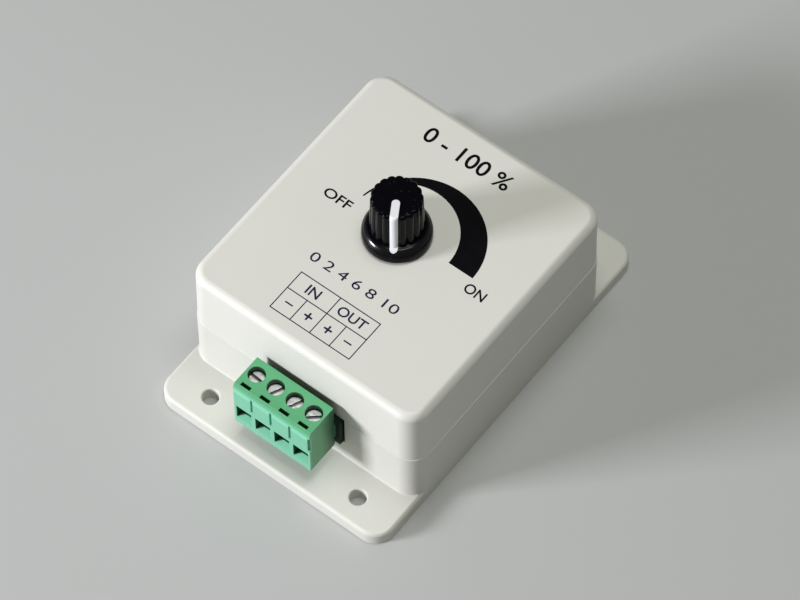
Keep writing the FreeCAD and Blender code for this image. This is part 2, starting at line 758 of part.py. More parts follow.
def wire_clamps():
    """Threaded cages that their screws lift towards the contact's bar."""
    nut_low = "(bar_low + bar_thick + move_gap)"
    nut_top = "(bar_low + bar_thick + move_gap + cage_nut)"
    for number, x in enumerate(POLES, start=1):
        outer = block("cage_outer", around(x, "cage_wide / 2"),
                      ("move_gap - chamber_front", "-1 * chamber_back - move_gap"),
                      ("chamber_low + move_gap", nut_top))
        window = block("cage_window", around(x, "cage_wide / 2 - cage_wall"),
                       ("-1 * chamber_front", "-1 * chamber_back"),
                       ("chamber_low + move_gap + cage_wall", nut_low))
        thread = rod("cage_thread", "clamp_screw_core + 2 * thread_gap", nut_low + " - past",
                     nut_top + " + past", x, "-1 * screw_row")
        label(cut("cage", outer, [window, thread]), f"wire_clamp_{number}")


def pot_bushing():
    """Threaded bushing with its round front plate and locating key."""
    plate = rod("pot_plate", "can_across", WAFER_TOP, POT_FACE, "pot_x", "pot_y")
    neck = rod("pot_neck", "bushing", POT_FACE, "case_tall + bushing_rise", "pot_x", "pot_y")
    key = block("pot_key", around("pot_x - key_offset", "key_thick / 2"), around("pot_y", "key_wide / 2"),
                (POT_FACE, POT_FACE + " + key_tall"))
    bore = rod("pot_bore", "shaft + 2 * shaft_gap", WAFER_TOP + " - past", "case_tall + bushing_rise + past",
               "pot_x", "pot_y")
    label(cut("bushing_part", join("bushing_solid", [plate, neck, key]), [bore]), "pot_bushing")
    washer = rod("washer_disc", "washer_across", "case_tall", "case_tall + washer_thick", "pot_x", "pot_y")
    hole = rod("washer_hole", "bushing + bushing_slack", "case_tall - past",
               "case_tall + washer_thick + past", "pot_x", "pot_y")
    label(cut("washer", washer, [hole]), "pot_washer")
    prism = doc.addObject("Part::Prism", "nut_prism")
    prism.Polygon = 6
    bind(prism, Circumradius="nut_flats / 2 / cos(30 deg)", Height="nut_thick")
    move(prism, "pot_x", "pot_y", "case_tall + washer_thick")
    thread = rod("nut_thread", "bushing", "case_tall", "case_tall + washer_thick + nut_thick + past",
                 "pot_x", "pot_y")
    label(cut("nut", prism, [thread]), "pot_nut")


def pot_inside():
    """Can, wafer with its tongue, lugs and wires below the front plate."""
    can_low = WAFER_TOP + " - can_tall"
    cup = rod("can_outer", "can_across", can_low, WAFER_TOP, "pot_x", "pot_y")
    hollow = rod("can_hollow", "can_across - 2 * can_wall", can_low + " + can_wall", WAFER_TOP + " + past",
                 "pot_x", "pot_y")
    slot = block("can_slot", around("pot_x", "tongue_wide / 2"), (TONGUE_END + " - past", "pot_y"),
                 (WAFER_UNDER, WAFER_TOP + " + past"))
    label(cut("can", cup, [hollow, slot]), "pot_can")
    disc = rod("wafer_disc", "can_across - 2 * can_wall", WAFER_UNDER, WAFER_TOP, "pot_x", "pot_y")
    tongue = block("wafer_tongue", around("pot_x", "tongue_wide / 2"), (TONGUE_END, "pot_y"),
                   (WAFER_UNDER, WAFER_TOP))
    way = rod("wafer_way", "shaft + 2 * move_gap", WAFER_UNDER + " - past", WAFER_TOP + " + past",
              "pot_x", "pot_y")
    label(cut("wafer", join("wafer_solid", [disc, tongue]), [way]), "pot_wafer")
    lugs = []
    wires = []
    for x, y in WIRE_SPOTS:
        lugs.append(block("lug", around(x, "lug_wide / 2"),
                          (y + " - lug_wide / 2", TONGUE_END + " + tongue_long / 2"),
                          (WAFER_UNDER + " - lug_thick", WAFER_UNDER)))
        wires.append(rod("wire", "wire_across", "board_top", WAFER_UNDER + " - lug_thick", x, y))
    group("pot_lugs", lugs)
    group("pot_wires", wires)


def shaft_and_wiper():
    """Shaft with a flat at its knob end, and the carrier with its spring fingers."""
    foot = WAFER_UNDER + " - move_gap - wiper_spring - wiper_thick"
    top = "knob_top - knob_roof"
    bar = rod("shaft_bar", "shaft", foot, top, "pot_x", "pot_y")
    flat = block("shaft_flat_cut", ("pot_x + shaft / 2 - shaft_flat", "pot_x + shaft"),
                 around("pot_y", "shaft"), ("case_tall + bushing_rise + flat_gap", top + " + past"))
    label(cut("shaft_part", bar, [flat]), "pot_shaft")
    disc_top = WAFER_UNDER + " - move_gap - wiper_spring"
    disc = rod("wiper_disc", "wiper_across", foot, disc_top, "pot_x", "pot_y")
    fingers = [block("wiper_finger", around(f"pot_x + {side} * track_across / 2", "finger_wide / 2"),
                     around("pot_y", "finger_long / 2"), (disc_top, WAFER_UNDER + " - finger_gap"))
               for side in (-1, 1)]
    way = rod("wiper_way", "shaft", foot + " - past", disc_top + " + past", "pot_x", "pot_y")
    label(cut("wiper", join("wiper_solid", [disc] + fingers), [way]), "wiper_carrier")


def flute_outline(across, level):
    """Closed outline of round lobes whose tips lie on a circle."""
    count = int(size("flute_count"))
    tip = across / 2
    valley = tip - size("flute_deep")
    step = 2 * math.pi / count
    arcs = []
    for k in range(count):
        turns = [(k - 0.5) * step, k * step, (k + 0.5) * step]
        reach = [valley, tip, valley]
        points = [Vector(r * math.cos(a), r * math.sin(a), level) for r, a in zip(reach, turns)]
        arcs.append(Part.Arc(*points).toShape())
    return Part.Wire(arcs)


def turned(points, closing_arc=None):
    """Solid turned about Z from an outline in the XZ plane."""
    edges = []
    for i in range(len(points)):
        start = Vector(points[i][0], 0, points[i][1])
        end = Vector(points[(i + 1) % len(points)][0], 0, points[(i + 1) % len(points)][1])
        if closing_arc and closing_arc[0] == i:
            middle = Vector(closing_arc[1][0], 0, closing_arc[1][1])
            edges.append(Part.Arc(start, middle, end).toShape())
        else:
            edges.append(Part.LineSegment(start, end).toShape())
    return Part.Face(Part.Wire(edges)).revolve(Vector(), Vector(0, 0, 1), 360)


def feature(name, shape, place):
    """A piece whose shape is computed, then placed."""
    piece = doc.addObject("Part::Feature", name)
    piece.Shape = shape
    piece.Placement = place
    return piece


def knob_form(grow):
    """Skirt and fluted body, grown outwards by a given amount."""
    low = size("case_tall") + size("knob_gap")
    top = size("knob_top")
    skirt = size("skirt_across") / 2 + grow
    rim = low + size("skirt_rim") + grow
    neck = size("body_low_across") / 2
    shoulder = low + size("skirt_tall")
    lap = size("skirt_lap")
    inner = neck - size("flute_deep") - lap
    bulge = (neck + grow + size("dome_out_share") * (skirt - neck - grow),
             rim + size("dome_up_share") * (shoulder - rim))
    dome = turned([(0, low), (skirt, low), (skirt, rim), (neck + grow, shoulder), (inner, shoulder + lap),
                   (0, shoulder + lap)], (2, bulge))
    body = Part.makeLoft([flute_outline(2 * (neck + grow), low + size("skirt_rim") / 2),
                          flute_outline(size("body_top_across") + 2 * grow, top + grow)], True, True)
    edge = size("knob_round")
    reach = size("body_top_across") / 2 + grow
    slope = edge * (1 - math.sqrt(0.5))
    limit = turned([(0, low), (skirt + PAST, low), (skirt + PAST, top - edge), (reach, top + grow - edge),
                    (reach - edge, top + grow), (0, top + grow)], (3, (reach - slope, top + grow - slope)))
    return dome.fuse(body).common(limit).removeSplitter()


def knob():
    """Fluted knob with a hollow skirt and a D shaped bore, and its white pointer."""
    centre = Vector(size("pot_x"), size("pot_y"), 0)
    place = Placement(centre, Rotation(Vector(0, 0, 1), size("pointer_angle")))
    solid = feature("knob_solid", knob_form(0.0), place)
    wide = size("pointer_wide")
    start = size("pointer_start") + wide / 2
    end = size("pointer_end") - wide / 2
    low = size("case_tall") + size("knob_gap") + size("skirt_rim") / 2
    tall = size("knob_top") + PAST - low
    strip = Part.makeBox(end - start, wide, tall, Vector(start, -wide / 2, low))
    for x in (start, end):
        strip = strip.fuse(Part.makeCylinder(wide / 2, tall, Vector(x, 0, low)))
    strip = strip.removeSplitter()
    deep = knob_form(-size("pointer_deep"))
    inlay = strip.common(knob_form(size("pointer_proud"))).cut(deep)
    largest = max(inlay.Solids, key=lambda piece: piece.Volume)
    pointer = feature("pointer_inlay", largest, place)
    label(pointer, "knob_pointer")
    recess_low = "case_tall + knob_gap"
    recess = rod("knob_recess_cut", "knob_recess", recess_low + " - past",
                 recess_low + " + knob_recess_tall", "pot_x", "pot_y")
    neck = rod("knob_neck_cut", "bushing + 2 * move_gap", recess_low,
               "case_tall + bushing_rise + move_gap", "pot_x", "pot_y")
    label(cut("knob_part", solid, [recess, neck, nodes["pot_shaft"], pointer]), "knob")


def transistor():
    """Power transistor screwed to a finned heat sink."""
    top = "board_top + sink_tall"
    plate = block("sink_back", around("sink_x", "sink_wide / 2"), (TAB_BACK, TAB_BACK + " + sink_plate"),
                  ("board_top", top))
    fins = [block("sink_fin", around(f"sink_x + {k} * fin_pitch", "fin_thick / 2"),
                  (TAB_BACK + " + sink_plate / 2", TAB_BACK + " + sink_reach"), ("board_top", top))
            for k in (-2, -1, 1, 2)]
    hole_level = "(board_top + tab_rise + (package_tall + tab_tall) / 2)"
    pilot = rod("sink_hole", "tab_screw", TAB_BACK + " - past", TAB_BACK + " + sink_reach + past", "sink_x",
                z=hole_level, way=BACKWARD)
    label(cut("sink", join("sink_solid", [plate] + fins), [pilot]), "heat_sink")
    tab = block("tab_plate", around("sink_x", "tab_wide / 2"), (TAB_BACK + " - tab_thick", TAB_BACK),
                ("board_top + tab_rise", "board_top + tab_rise + tab_tall"))
    hole = rod("tab_hole", "tab_screw + screw_slack", TAB_BACK + " - tab_thick - past",
               TAB_BACK + " + past", "sink_x", z=hole_level, way=BACKWARD)
    label(cut("tab", tab, [hole]), "transistor_tab")
    label(block("package", around("sink_x", "tab_wide / 2"),
                (TAB_BACK + " - tab_thick - package_thick", TAB_BACK + " - tab_thick"),
                ("board_top + tab_rise", "board_top + tab_rise + package_tall")), "transistor_package")
    leads = [block("lead", around(x, "lead_wide / 2"), around(y, "lead_thick / 2"),
                   (BOARD_UNDER + " - tail", "board_top + tab_rise")) for x, y in LEAD_SPOTS]
    group("transistor_leads", leads)
    head = rod("tab_screw_cap", "tab_screw_head", TAB_BACK + " - tab_thick - tab_screw_head_tall",
               TAB_BACK + " - tab_thick", "sink_x", z=hole_level, way=BACKWARD)
    shank = rod("tab_screw_bar", "tab_screw", TAB_BACK + " - tab_thick",
                TAB_BACK + " + sink_plate + tab_screw_reach", "sink_x", z=hole_level, way=BACKWARD)
    drive = block("tab_screw_drive", around("sink_x", "tab_screw_head"),
                  (TAB_BACK + " - tab_thick - tab_screw_head_tall - past",
                   TAB_BACK + " - tab_thick - tab_screw_head_tall / 2"),
                  around(hole_level, "tab_screw_slot / 2"))
    label(cut("tab_screw_part", join("tab_screw_blank", [head, shank]), [drive]), "transistor_screw")


def beaded_can(name, x, y, across, tall):
    """An upright capacitor can with the rolled bead near its foot and a softened top edge."""
    low = "board_top"
    can = rod(name + "_can", across, low, f"board_top + {tall} - cap_edge", x, y)
    crown = doc.addObject("Part::Cone", name + "_crown")
    bind(crown, Radius1=f"{across} / 2", Radius2=f"{across} / 2 - cap_edge", Height="cap_edge")
    move(crown, x, y, f"board_top + {tall} - cap_edge")
    bead = doc.addObject("Part::Torus", name + "_bead")
    bind(bead, Radius1=f"{across} / 2 - bead_deep + bead_round", Radius2="bead_round")
    move(bead, x, y, f"{low} + bead_rise")
    label(cut(name + "_part", join(name + "_solid", [can, crown]), [bead]), name)


def capacitors():
    beaded_can("main_capacitor", "main_cap_x", "main_cap_y", "main_cap_across", "main_cap_tall")
    beaded_can("small_capacitor", "small_cap_x", "small_cap_y", "small_cap_across", "small_cap_tall")
    group("capacitor_leads", round_leads("cap_lead", "can_lead", CAP_SPOTS + SMALL_CAP_SPOTS, "board_top"))
    films = [block("film", around("film_x", "film_wide / 2"), around(y, "film_thick / 2"),
                   ("board_top", "board_top + film_tall")) for y in FILM_LINES]
    group("film_capacitors", films)
    group("film_leads", round_leads("film_lead", "resistor_lead", FILM_SPOTS, "board_top"))


def timer_chip():
    """Eight legged chip with a notch at one end."""
    low = "board_top + chip_rise"
    body = block("chip_body", around("chip_x", "chip_wide / 2"), around("chip_y", "chip_long / 2"),
                 (low, low + " + chip_thick"))
    dent = rod("chip_end_dent", "chip_dent", low + " + chip_thick - chip_dent_deep",
               low + " + chip_thick + past", "chip_x", "chip_y + chip_long / 2")
    label(cut("chip", body, [dent]), "timer_chip")
    shoulder = "board_top + chip_rise + chip_thick / 2"
    legs = []
    for x, y in LEG_SPOTS:
        side = "-" if "-1 * leg_span" in x else "+"
        edge = f"chip_x {side} chip_wide / 2"
        outer = f"{x} {side} leg_thick / 2"
        span = (outer, edge) if side == "-" else (edge, outer)
        arm = block("leg_arm", span, around(y, "leg_wide / 2"), (shoulder, shoulder + " + leg_thick"))
        stem = block("leg_stem", around(x, "leg_thick / 2"), around(y, "leg_wide / 2"),
                     (BOARD_UNDER + " - tail", shoulder + " + leg_thick"))
        legs.append(join("leg", [arm, stem]))
    group("chip_legs", legs)


def lying_leads(name, lead, long, span, level, ends, way):
    """Bent leads of a part that lies on the board: an arm out of its end, then a drop through the board."""
    leads = []
    for centre, cross, side in ends:
        near = f"({centre}) + {side} * ({long}) / 2"
        spot = f"({centre}) + {side} * ({span}) / 2"
        start, end = (near, spot) if side > 0 else (spot, near)
        arm = rod(name + "_arm", lead, start, end, x=cross, y=cross, z=level, way=way)
        x, y = (spot, cross) if way is SIDEWAYS else (cross, spot)
        stem = rod(name + "_stem", lead, BOARD_UNDER + " - tail", level, x, y)
        elbow = doc.addObject("Part::Sphere", name + "_elbow")
        bind(elbow, Radius=f"{lead} / 2")
        move(elbow, x, y, level)
        leads.append(join(name, [arm, elbow, stem]))
    return leads


def resistors_and_diode():
    level = "(board_top + resistor_rise + resistor_across / 2)"
    start, end = around("resistor_y", "resistor_long / 2")
    bodies = [rod("resistor", "resistor_across", start, end, x=x, z=level, way=BACKWARD)
              for x in RESISTOR_LINES]
    group("resistors", bodies)
    ends = [("resistor_y", x, side) for x in RESISTOR_LINES for side in (-1, 1)]
    group("resistor_leads", lying_leads("resistor_wire", "resistor_lead", "resistor_long", "resistor_span",
                                        level, ends, BACKWARD))
    rest = "(board_top + diode_across / 2)"
    start, end = around("diode_x", "diode_long / 2")
    body = rod("diode", "diode_across", start, end, y="diode_y", z=rest, way=SIDEWAYS)
    label(body, "flyback_diode")
    ends = [("diode_x", "diode_y", side) for side in (-1, 1)]
    group("diode_leads", lying_leads("diode_wire", "diode_lead", "diode_long", "diode_span", rest, ends,
                                     SIDEWAYS))


base_shell()
top_cover()
screws()
circuit_board()
socket_header()
plug_body()
plug_contacts()
terminal_screws()
wire_clamps()
pot_bushing()
pot_inside()
shaft_and_wiper()
knob()
transistor()
capacitors()
timer_chip()
resistors_and_diode()
doc.recompute()

for thing in doc.Objects:
    if "Invalid" in thing.State or "Error" in thing.State:
        raise RuntimeError(f"{thing.Name} failed: {thing.State}")
for name, thing in nodes.items():
    if thing.Shape.isNull() or not thing.Shape.isValid() or not thing.Shape.Solids:
        raise RuntimeError(f"{name} has no valid solid")
for name, thing in nodes.items():
    thing.Shape.exportStep(f"parts/{name}.step")
    print(name, len(thing.Shape.Solids), round(thing.Shape.Volume, 2))
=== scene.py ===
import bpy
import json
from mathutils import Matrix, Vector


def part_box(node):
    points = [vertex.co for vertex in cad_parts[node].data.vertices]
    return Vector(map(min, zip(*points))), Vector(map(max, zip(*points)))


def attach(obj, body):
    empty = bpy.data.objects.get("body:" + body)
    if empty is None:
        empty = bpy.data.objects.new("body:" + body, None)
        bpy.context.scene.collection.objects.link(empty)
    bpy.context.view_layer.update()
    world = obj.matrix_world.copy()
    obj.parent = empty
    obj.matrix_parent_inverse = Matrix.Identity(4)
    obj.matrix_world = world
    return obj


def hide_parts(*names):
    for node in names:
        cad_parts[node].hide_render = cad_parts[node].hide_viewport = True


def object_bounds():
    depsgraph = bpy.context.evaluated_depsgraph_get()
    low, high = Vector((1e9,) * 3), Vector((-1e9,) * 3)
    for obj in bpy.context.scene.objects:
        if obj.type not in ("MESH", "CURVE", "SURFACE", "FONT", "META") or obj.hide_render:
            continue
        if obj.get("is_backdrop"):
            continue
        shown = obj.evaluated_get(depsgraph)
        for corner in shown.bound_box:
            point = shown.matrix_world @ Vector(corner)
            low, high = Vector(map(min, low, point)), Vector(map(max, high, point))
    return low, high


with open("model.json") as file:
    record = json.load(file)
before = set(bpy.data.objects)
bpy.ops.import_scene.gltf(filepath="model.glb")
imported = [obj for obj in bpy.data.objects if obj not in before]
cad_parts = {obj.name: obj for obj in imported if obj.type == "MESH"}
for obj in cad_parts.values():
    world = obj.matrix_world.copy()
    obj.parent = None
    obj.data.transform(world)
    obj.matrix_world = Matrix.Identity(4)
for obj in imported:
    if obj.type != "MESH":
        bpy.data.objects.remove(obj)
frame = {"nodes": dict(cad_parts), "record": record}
cad_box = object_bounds()

# %% [markdown]
# The object is a small rotary light dimmer: an ivory case in two halves on two screw flanges, a black
# fluted knob with a white pointer, and a green terminal plug in front. The frame holds every piece at
# its real size. The pieces inside the case keep their frame shape and get a finish. The pieces that a
# hand or an eye meets are modelled again here, with the soft edges that a mould gives.
#
# Millimetres are kinder to think in than metres, and merging and bevelling behave better on numbers
# near one. So each piece is modelled in millimetres and brought to metres when it is put in place.

# %% Millimetres and measures from the frame
import json
import math

import bmesh
import bpy
from mathutils import Matrix, Vector

MM = 0.001
NEAR = 0.001


def corners_of(node):
    """Lowest and highest corner of a frame node, in millimetres."""
    low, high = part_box(node)
    return low / MM, high / MM


side, flange_end, _ = corners_of("base_shell")[1]
lid_low, lid_high = corners_of("top_cover")
front, seam, roof = lid_high.y, lid_low.z, lid_high.z
print(f"case {2 * side:.1f} x {2 * front:.1f} x {roof:.1f}, seam at {seam:.1f}")
print(f"flanges end {flange_end:.1f} from the middle")

# %% [markdown]
# An operator works on all that is selected, and in edit mode on all that is selected there. In a
# script the clean way is to clear the selection first, and then to pick faces or edges by a test on
# their place. These few helpers do that, and then scale or round what was picked.

# %% Picking things
def only(*pieces):
    """Selects these pieces and nothing else. The first one is active."""
    bpy.ops.object.select_all(action="DESELECT")
    for piece in pieces:
        piece.select_set(True)
    bpy.context.view_layer.objects.active = pieces[0]


def edit(piece):
    """Opens a piece in edit mode, with all of it selected."""
    only(piece)
    bpy.ops.object.mode_set(mode="EDIT")
    bpy.ops.mesh.select_all(action="SELECT")


def close():
    bpy.ops.object.mode_set(mode="OBJECT")


def choose(piece, kind, test):
    """In edit mode, selects the vertices, edges or faces that pass a test."""
    bpy.ops.mesh.select_mode(type=kind)
    bpy.ops.mesh.select_all(action="DESELECT")
    mesh = bmesh.from_edit_mesh(piece.data)
    for item in {"VERT": mesh.verts, "EDGE": mesh.edges, "FACE": mesh.faces}[kind]:
        if test(item):
            item.select_set(True)
    mesh.select_flush_mode()
    bmesh.update_edit_mesh(piece.data)


def level_edge(height):
    """A test for edges that lie flat at one height."""
    return lambda edge: all(abs(end.co.z - height) < NEAR for end in edge.verts)


def upright_edge(edge):
    start, end = edge.verts
    run = end.co - start.co
    return abs(run.z) > 0.9 * run.length


def face_up(face):
    return face.normal.z > 0.9


def scale_about(centre, wide, deep, tall=1):
    """In edit mode, scales what is selected about a point."""
    bpy.ops.transform.resize(value=(wide, deep, tall), center_override=centre)


def round_edges(piece, test, reach, steps):
    """Rounds the edges that pass a test."""
    edit(piece)
    choose(piece, "EDGE", test)
    bpy.ops.mesh.bevel(offset=reach, segments=steps, affect="EDGES")
    close()


# %% [markdown]
# Nearly every piece begins as a block or as a turned piece. A block is a cube added at its size. A
# turned piece is a disc that is extruded and scaled again and again, as a profile is cut on a lathe.
# Booleans then join and cut such starts as a mould or a saw would. They leave doubled points where
# two shapes touch, so these are merged each time.

# %% Starting shapes
def named(name):
    piece = bpy.context.object
    piece.name = piece.data.name = name
    return piece


def block(name, low, high):
    """A box between two corners. It is only ever a start or a cutter."""
    low, high = Vector(low), Vector(high)
    bpy.ops.object.select_all(action="DESELECT")
    bpy.ops.mesh.primitive_cube_add(size=1, location=(low + high) / 2, scale=high - low)
    bpy.ops.object.transform_apply(location=True, rotation=False, scale=True)
    return named(name)


def disc(name, centre, radius, level, sides):
    """A flat disc, open in edit mode."""
    bpy.ops.object.select_all(action="DESELECT")
    bpy.ops.mesh.primitive_circle_add(vertices=sides, radius=radius, fill_type="NGON",
                                      location=(*centre, level))
    bpy.ops.object.transform_apply(location=True)
    piece = named(name)
    edit(piece)
    return piece


def stack(centre, first, rings):
    """Extrudes what is selected from ring to ring, each a radius and a height, and closes the piece."""
    radius, level = first
    for wider, higher in rings:
        bpy.ops.mesh.extrude_region_move(TRANSFORM_OT_translate={"value": (0, 0, higher - level)})
        scale_about((*centre, higher), wider / radius, wider / radius)
        radius, level = wider, higher
    bpy.ops.mesh.select_all(action="SELECT")
    bpy.ops.mesh.normals_make_consistent(inside=False)
    close()


def lathe(name, centre, rings, sides=64):
    """A turned piece, given by the rings of its profile."""
    piece = disc(name, centre, *rings[0], sides)
    stack(centre, rings[0], rings[1:])
    return piece


def rolled(outer, low, inner, top, steps):
    """Rings that roll over from an upright side to a level end, as a quarter of an ellipse does."""
    turns = [math.pi / 2 * step / steps for step in range(1, steps + 1)]
    return [(inner + (outer - inner) * math.cos(turn), low + (top - low) * math.sin(turn))
            for turn in turns]


def rod(name, centre, radius, low, high, sides=48):
    return lathe(name, centre, [(radius, low), (radius, high)], sides)


def modify(piece, kind, **settings):
    """Gives a piece a modifier with its settings, and applies it at once."""
    change = piece.modifiers.new(kind.lower(), kind)
    for name, value in settings.items():
        setattr(change, name, value)
    only(piece)
    bpy.ops.object.modifier_apply(modifier=change.name)


def combine(piece, how, *others):
    """Cuts, joins or crosses a piece with others, which are used up, and merges doubled points."""
    for other in others:
        modify(piece, "BOOLEAN", operation=how, solver="EXACT", object=other)
        bpy.data.objects.remove(other)
        edit(piece)
        bpy.ops.mesh.remove_doubles(threshold=NEAR / 10)
        close()
    return piece


def slice_off(piece, place, way):
    """Cuts a piece by a plane, closes the cut and drops what lies past it."""
    edit(piece)
    bpy.ops.mesh.bisect(plane_co=place, plane_no=way, use_fill=True, clear_outer=True)
    close()
    return piece


def twin_of(piece, name):
    """A copy with a mesh of its own."""
    only(piece)
    bpy.ops.object.duplicate(linked=False)
    return named(name)


def copies(pattern, name, places, turns):
    """A numbered copy of a pattern at each place, each with its own turn. The pattern itself goes."""
    for number, (place, turn) in enumerate(zip(places, turns), start=1):
        piece = twin_of(pattern, f"{name}_{number}")
        piece.location = (*place, 0)
        piece.rotation_euler.z = math.radians(turn)
        yield number, piece
    bpy.data.objects.remove(pattern)


# %% [markdown]
# A finish is a small network of nodes. Written one link at a time it is hard to follow, so a wire is
# wrapped in a class that knows sums: `0.4 + 0.1 * grain` writes its own Math nodes. Colours never go
# through those, because they would turn grey, and are blended by Mix nodes instead.

# %% Wires that know sums
class Wire:
    """A socket that can be used in a sum."""

    def __init__(self, finish, socket):
        self.finish = finish
        self.socket = socket

    def math(self, how, first, second=None, clamp=False):
        inputs = {0: first} if second is None else {0: first, 1: second}
        return self.finish.node("ShaderNodeMath", {"operation": how, "use_clamp": clamp}, inputs)

    def __add__(self, other):
        return self.math("ADD", self, other)

    def __sub__(self, other):
        return self.math("SUBTRACT", self, other)

    def __rsub__(self, other):
        return self.math("SUBTRACT", other, self)

    def __mul__(self, other):
        return self.math("MULTIPLY", self, other)

    def __truediv__(self, other):
        return self.math("DIVIDE", self, other)

    def __pow__(self, other):
        return self.math("POWER", self, other)

    __radd__ = __add__
    __rmul__ = __mul__

    def size(self):
        return self.math("ABSOLUTE", self)

    def part(self):
        return self.math("FRACT", self)

    def wave(self):
        return self.math("SINE", self)

    def within(self, limit, soft):
        """1 where the value is under a limit, 0 past it, and a soft step between."""
        return self.math("MULTIPLY", (limit - self) / soft + 0.5, 1.0, clamp=True)

    def beyond(self, limit, soft):
        """The other side of the same step."""
        return 1.0 - self.within(limit, soft)


class Finish:
    """A material under construction. Numbers that are the same all over go to the shader itself."""

    def __init__(self, name, colour, **plain):
        self.material = bpy.data.materials.new(name)
        self.material.use_nodes = True
        self.nodes = self.material.node_tree.nodes
        self.links = self.material.node_tree.links
        self.shader = self.nodes["Principled BSDF"]
        self.material.diffuse_color = (*colour, 1)
        self.feed("Base Color", (*colour, 1))
        for socket, number in plain.items():
            self.feed(socket.replace("_", " "), number)
        place = self.node("ShaderNodeTexCoord", {}, {}, "Object")
        self.place = self.node("ShaderNodeVectorMath", {"operation": "SCALE"}, {0: place, 3: 1 / MM})
        self.x, self.y, self.z = (self.node("ShaderNodeSeparateXYZ", {}, {0: self.place}, axis)
                                  for axis in "XYZ")

    def feed(self, socket, value):
        """Gives one of the shader's sockets a number, a colour or a wire."""
        self.give(self.shader.inputs[socket], value)

    def give(self, socket, value):
        if isinstance(value, Wire):
            self.links.new(value.socket, socket)
        elif socket.type == "RGBA" and len(value) == 3:
            socket.default_value = (*value, 1)
        else:
            socket.default_value = value

    def node(self, kind, settings, inputs, output=0):
        """Any node: its settings first, then its sockets. Gives back one output as a wire."""
        made = self.nodes.new(kind)
        for name, value in settings.items():
            setattr(made, name, value)
        for name, value in inputs.items():
            self.give(made.inputs[name], value)
        return Wire(self, made.outputs[output])

    def noise(self, grain, detail=2.0, stretch=(1, 1, 1)):
        """Cloudy noise whose blotches are about one grain across, in millimetres, from 0 to 1."""
        place = self.node("ShaderNodeMapping", {}, {"Vector": self.place, "Scale": stretch})
        return self.node("ShaderNodeTexNoise", {}, {"Vector": place, "Scale": 1 / grain, "Detail": detail})

    def blend(self, share, first, second):
        return self.node("ShaderNodeMix", {"data_type": "RGBA"}, {0: share, 6: first, 7: second}, 2)

    def bump(self, height, depth):
        """Feeds the shader's normal with a height from 0 to 1, so many millimetres deep."""
        self.feed("Normal", self.node("ShaderNodeBump", {}, {"Distance": depth * MM, "Height": height}))


# %% [markdown]
# Most moulded and plated surfaces share a recipe: a colour that drifts a little over the piece, a
# roughness that is never quite even, and a fine grain. One recipe for plastics and one for metals make
# nearly every finish, and each call says how strong the drift is and how coarse the grain.

# %% Recipes for plastic and metal
def plastic(name, colour, second, drift, rough, uneven, grain, depth, **plain):
    """A moulded plastic that drifts between two colours, with a fine grain from its mould."""
    made = Finish(name, colour, **plain)
    cloud = made.noise(drift, 3.0)
    made.feed("Base Color", made.blend(cloud, colour, second))
    pores = made.noise(grain, 3.0)
    wear_and_shade = made.noise(drift / 3, 4.0)
    made.feed("Roughness", rough - uneven / 2 + uneven * wear_and_shade)
    made.bump(pores, depth)
    return made


def metal(name, colour, second, drift, rough, uneven, grain, depth, stretch=(1, 1, 1), **plain):
    """A bare or plated metal with a grain that may run one way."""
    made = Finish(name, colour, Metallic=1.0, **plain)
    cloud = made.noise(drift, 3.0)
    made.feed("Base Color", made.blend(cloud, colour, second))
    lines = made.noise(grain, 3.0, stretch)
    made.feed("Roughness", rough - uneven / 2 + uneven * lines)
    made.bump(lines, depth)
    return made


# %% [markdown]
# When a piece is shaped, it still has to be shaded, finished and tied to the body that it moves with.
# Shading smooth only where faces meet at a small angle keeps crisp edges crisp. Weighting the normals
# by face area then keeps wide flat faces flat right up to their rounded rims, which is what makes a
# fillet read as a fillet.

# %% Putting a piece in place
def settle(piece, body, finish, replaces=(), angle=32.0):
    """Brings a piece from millimetres to metres, shades and finishes it, and lets it ride on a body."""
    only(piece)
    bpy.ops.object.transform_apply(location=True, rotation=True, scale=True)
    piece.scale = (MM, MM, MM)
    bpy.ops.object.transform_apply(scale=True)
    bpy.ops.object.shade_smooth_by_angle(angle=math.radians(angle))
    modify(piece, "WEIGHTED_NORMAL", keep_sharp=True)
    piece.data.materials.clear()
    piece.data.materials.append(finish.material)
    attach(piece, body)
    if replaces:
        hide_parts(*replaces)
    mesh = bmesh.new()
    mesh.from_mesh(piece.data)
    loose = sum(not edge.is_manifold for edge in mesh.edges)
    volume = mesh.calc_volume() / MM**3
    print(f"{piece.name}: {len(mesh.faces)} faces, {loose} open edges, {volume:.1f} mm3")
    mesh.free()


# %% [markdown]
# The case is ivory plastic from a spark-eroded mould: satin, with a grain finer than a hair, warm
# where it has aged. The lower half comes from a mould of its own and is a shade deeper than the lid.
# Its edge stands a hair proud at the seam. A thin paler line just under the seam is a painted highlight,
# for the light that this ledge catches, and it dies out around the corners towards the front.
# A few faint scuffs, long thin streaks of noise, change only how the surface shines.

# %% Ivory case plastic
IVORY = (0.740, 0.740, 0.685)
AGED = (0.705, 0.700, 0.625)
DEEPER = (0.665, 0.665, 0.605)
SEAM_HIGHLIGHT = (0.830, 0.840, 0.800)
SEAM_HIGHLIGHT_DROP = 0.09
SEAM_HIGHLIGHT_REACH = 0.12
HIGHLIGHT_FADE_FROM = 5.0
SPARK_GRAIN = 0.35
SPARK_DEEP = 0.012


